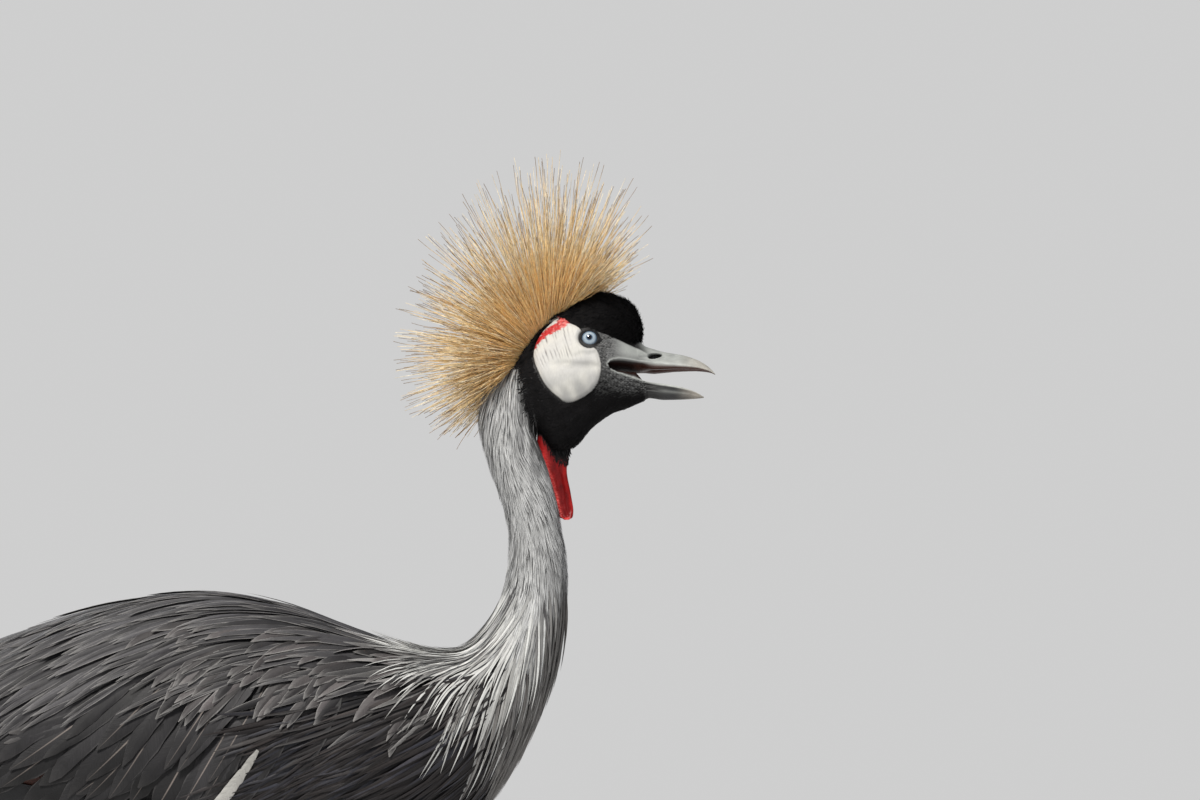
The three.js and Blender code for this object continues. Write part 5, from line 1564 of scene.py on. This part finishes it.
def legs():
    """Shanks, shins, toes and claws, each side as two pieces."""
    (ankle_x, ankle_z), (heel_x, heel_z) = ANKLE, HEEL
    shank = leg_stations((0.3, 6.5), (0.5, 5.6), (0.8, 5.4), (0.93, 7.6), (1.02, 8.6))
    tarsus = [
        [ankle_x - 1, -LEG_Y, ankle_z + 12, 7.5],
        [ankle_x, -LEG_Y, ankle_z, 9.4],
        [ankle_x + 3, -LEG_Y, ankle_z - 20, 6.8],
        [(ankle_x + heel_x) / 2, -LEG_Y, (ankle_z + heel_z) / 2, 5],
        [heel_x - 2, -LEG_Y, heel_z + 22, 5.6],
        [heel_x, -LEG_Y, heel_z, 8],
        [heel_x + 1, -LEG_Y, heel_z - 10, 7],
    ]
    parts = [leg_skin(shank, (1.2, 3.9, 14), 200), leg_skin(tarsus, (1.3, 5.2, 22), 330)]
    claws = []
    for yaw, length, radius in TOES.values():
        way = np.array([math.cos(yaw), -math.sin(yaw), 0])

        def stations(*rows, way=way, radius=radius):
            """Rows of distance, height and radius, the last two as shares of the toe's radius."""
            spots = [way * distance + [heel_x, -LEG_Y, 0] for distance, *_ in rows]
            return [[x, y, lift * radius, size * radius] for (x, y, _), (_, lift, size) in zip(spots, rows)]

        end, reach = length * 0.62, 5 + length * 0.13
        toe = stations((0, 9 / radius, 1.1), (18, 1.02 * 0.82, 1.02), (end, 0.9 * 0.82, 0.9),
                       (length, 0.62 * 0.82, 0.62), (length + 1.4, 0.4 * 0.82, 0.4))
        parts.append(toe_skin(toe, max(2, round(length / 16)), way))
        claw = stations((length - 2.5, 0.66, 0.46), (length + 1.5, 0.72, 0.52),
                        (length + reach * 0.55, 0.62, 0.36), (length + reach, 1 / radius, 0.3 / radius))
        claws.append(toe_surface(claw, way, 26, 20))
    for name, side in SIDES:
        flip = np.array([1, side, 1])
        rings = [capped(points * flip) for points, _ in parts]
        nodes = [f"{node}_{name}" for node in ("shank", "tarsus", "foot")]
        join("leg_" + name, rings, [capped_tint(tint) for _, tint in parts], SCALES, "leg", nodes)
        rings = [capped(points * flip) for points in claws]
        worn = [srgb(20, 19, 20) * (1 + 0.5 * ripple(points, 4, 133))[..., None] for points, _ in rings]
        join("claws_" + name, rings, worn, HORN_MATERIAL, "claw", [f"claw_{toe}_{name}" for toe in TOES])


def thighs():
    """Feathered shins that end in a loose cuff above the bare shank."""
    stations = leg_stations((-0.1, 33), (0.08, 31), (0.25, 21), (0.36, 13), (0.44, 8))
    last = len(stations) - 1
    rows = limb_surface(stations).rows
    for name, side in SIDES:
        surface = Surface(*(rows[:, i : i + 3] * [1, side, 1] for i in (0, 3, 6)), 14)
        whole, faces = capped(surface.point(np.linspace(0.1, last, 60)[:, None], around(64), -2.5))
        tint = SLATE_DARK * (1 + 0.1 * ripple(whole, 14, 141))[..., None]
        piece("thigh_skin_" + name, whole, faces, tint, SKIN, "slate", ["thigh_" + name])
        coat = Coat()
        at = rng.uniform(0.15, last - 0.15, 1500)
        angle = even(at, 0, TURN)
        base = jittered(mix(SLATE_DARK, SLATE, even(at, 0, 0.6)), 0.14)
        run_down(coat, surface, at, angle, base, last)
        coat.build("thigh_feathers_" + name, PLUMAGE, "slate")


def run_down(coat, surface, at, angle, base, last):
    """Feathers that run down a limb, looser towards its end."""
    n = len(at)
    u = np.linspace(0, 1, 6)
    ahead, behind = (surface.point(np.clip(at + step, 0, last), angle, -2.4) for step in (0.12, -0.12))
    way = unit(ahead - behind)
    normal = unit(surface.point(at, angle, 1) - surface.point(at, angle))
    length = 26 - 9 * at / last
    sag = 0.4 * u[None, :, None]
    droop = unit(way[:, None] * (1 - sag) + np.array([0.0, 0.0, -1.0]) * sag)
    step = np.cumsum(np.concatenate([np.zeros((n, 1, 3)), droop[:, 1:]], axis=1), axis=1) / (len(u) - 1)
    lift = (0.7 + 2.2 * np.sin(u * 2.2))[None, :, None] * normal[:, None]
    centre = surface.point(at, angle, -2.4)[:, None] + step * length[:, None, None] + lift
    across, normal = repeated(unit(np.cross(normal, way)), len(u)), repeated(normal, len(u))
    half = taper(6.4 - 2.2 * at / last, LANCE, u)
    points = sheets(centre, across, normal, half, FLAT, 0.3)
    tint = feather_tint(base, u, FLAT, rng.normal(1, 0.1, n), 0.6, edge_share=0.3)
    coat.add(points, tint, vanes(half, FLAT, length, u), unwrap(at, angle, last))


mantle()
shoulder()
scapulars()
breast()
belly()
neck()
plumes()
wings()
rump()
tail()
legs()
thighs()


# Stage


def shown(name, data, place=(0, 0, 0), turn=(0, 0, 0)):
    """Adds a camera, lamp or mesh to the scene."""
    made = bpy.data.objects.new(name, data)
    made.location = place
    made.rotation_euler = turn
    bpy.context.scene.collection.objects.link(made)
    return made


def lamp(name, size, power, place, aim, colour=(1, 1, 1), kind="AREA"):
    """A lamp that shines from its place towards its aim; the size of a sun is an angle."""
    light = bpy.data.lights.new(name, kind)
    setattr(light, "angle" if kind == "SUN" else "size", size)
    light.energy = power
    light.color = colour
    x, y, z = np.array(aim, float) - place
    shown(name, light, place, (math.atan2(math.hypot(x, y), -z), 0, math.atan2(y, x) - math.pi / 2))


def floor():
    """A sheet of pale grey paper, 22 m wide."""
    line = np.linspace(-11, 11, 45)
    points = stack(*np.meshgrid(line, line, indexing="ij"), 0)
    mesh = bpy.data.meshes.new("Floor")
    mesh.from_pydata(points.reshape(-1, 3).tolist(), [], quads(*points.shape[:2]).tolist())
    m = Nodes("Floor paper", 0.8)
    inputs = {"Vector": m.add("TexCoord").outputs["Object"], "Scale": 6}
    m.colour = m.remap(m.add("TexNoise", inputs).outputs["Fac"], 0, 1, 0.58, 0.63)
    mesh.materials.append(m.done())
    mesh.polygons.foreach_set("use_smooth", np.ones(len(mesh.polygons), bool))
    shown("Floor", mesh)


def studio():
    """A faint cool light from all round, which the camera sees as the grey of the floor."""
    world = bpy.data.worlds.new("Studio")
    world.use_nodes = True
    tree = world.node_tree
    glow = tree.nodes["Background"]
    paper = tree.nodes.new("ShaderNodeBackground")
    seen = tree.nodes.new("ShaderNodeLightPath")
    either = tree.nodes.new("ShaderNodeMixShader")
    glow.inputs["Color"].default_value = (0.86, 0.9, 1, 1)
    glow.inputs["Strength"].default_value = 0.24
    paper.inputs["Color"].default_value = (0.62, 0.62, 0.62, 1)
    outputs = (seen.outputs["Is Camera Ray"], glow.outputs[0], paper.outputs[0])
    for output, socket in zip(outputs, either.inputs):
        tree.links.new(output, socket)
    tree.links.new(either.outputs[0], tree.nodes["World Output"].inputs["Surface"])
    bpy.context.scene.world = world
    bpy.context.scene.view_settings.view_transform = "Standard"


def stage():
    """The camera, the lamps, the floor and the light from all round."""
    camera = bpy.data.cameras.new("Camera")
    camera.lens = 348
    camera.sensor_width = 36
    camera.clip_end = 100
    bpy.context.scene.camera = shown("Camera", camera, (0.262, -9, 0.766), (math.radians(90), 0, 0))
    lamp("Key", 0.2, 4.0, (-0.75, -2.0, 3.6), (0.15, 0, 0.75), (1.0, 0.97, 0.92), "SUN")
    lamp("Fill", 2.6, 7, (2.6, -2.2, 1.5), (0.1, 0, 0.6))
    lamp("Rim", 1.4, 34, (-1.2, 2.0, 2.6), (0.1, 0, 0.7))
    floor()
    studio()


stage()
bpy.context.view_layer.update()
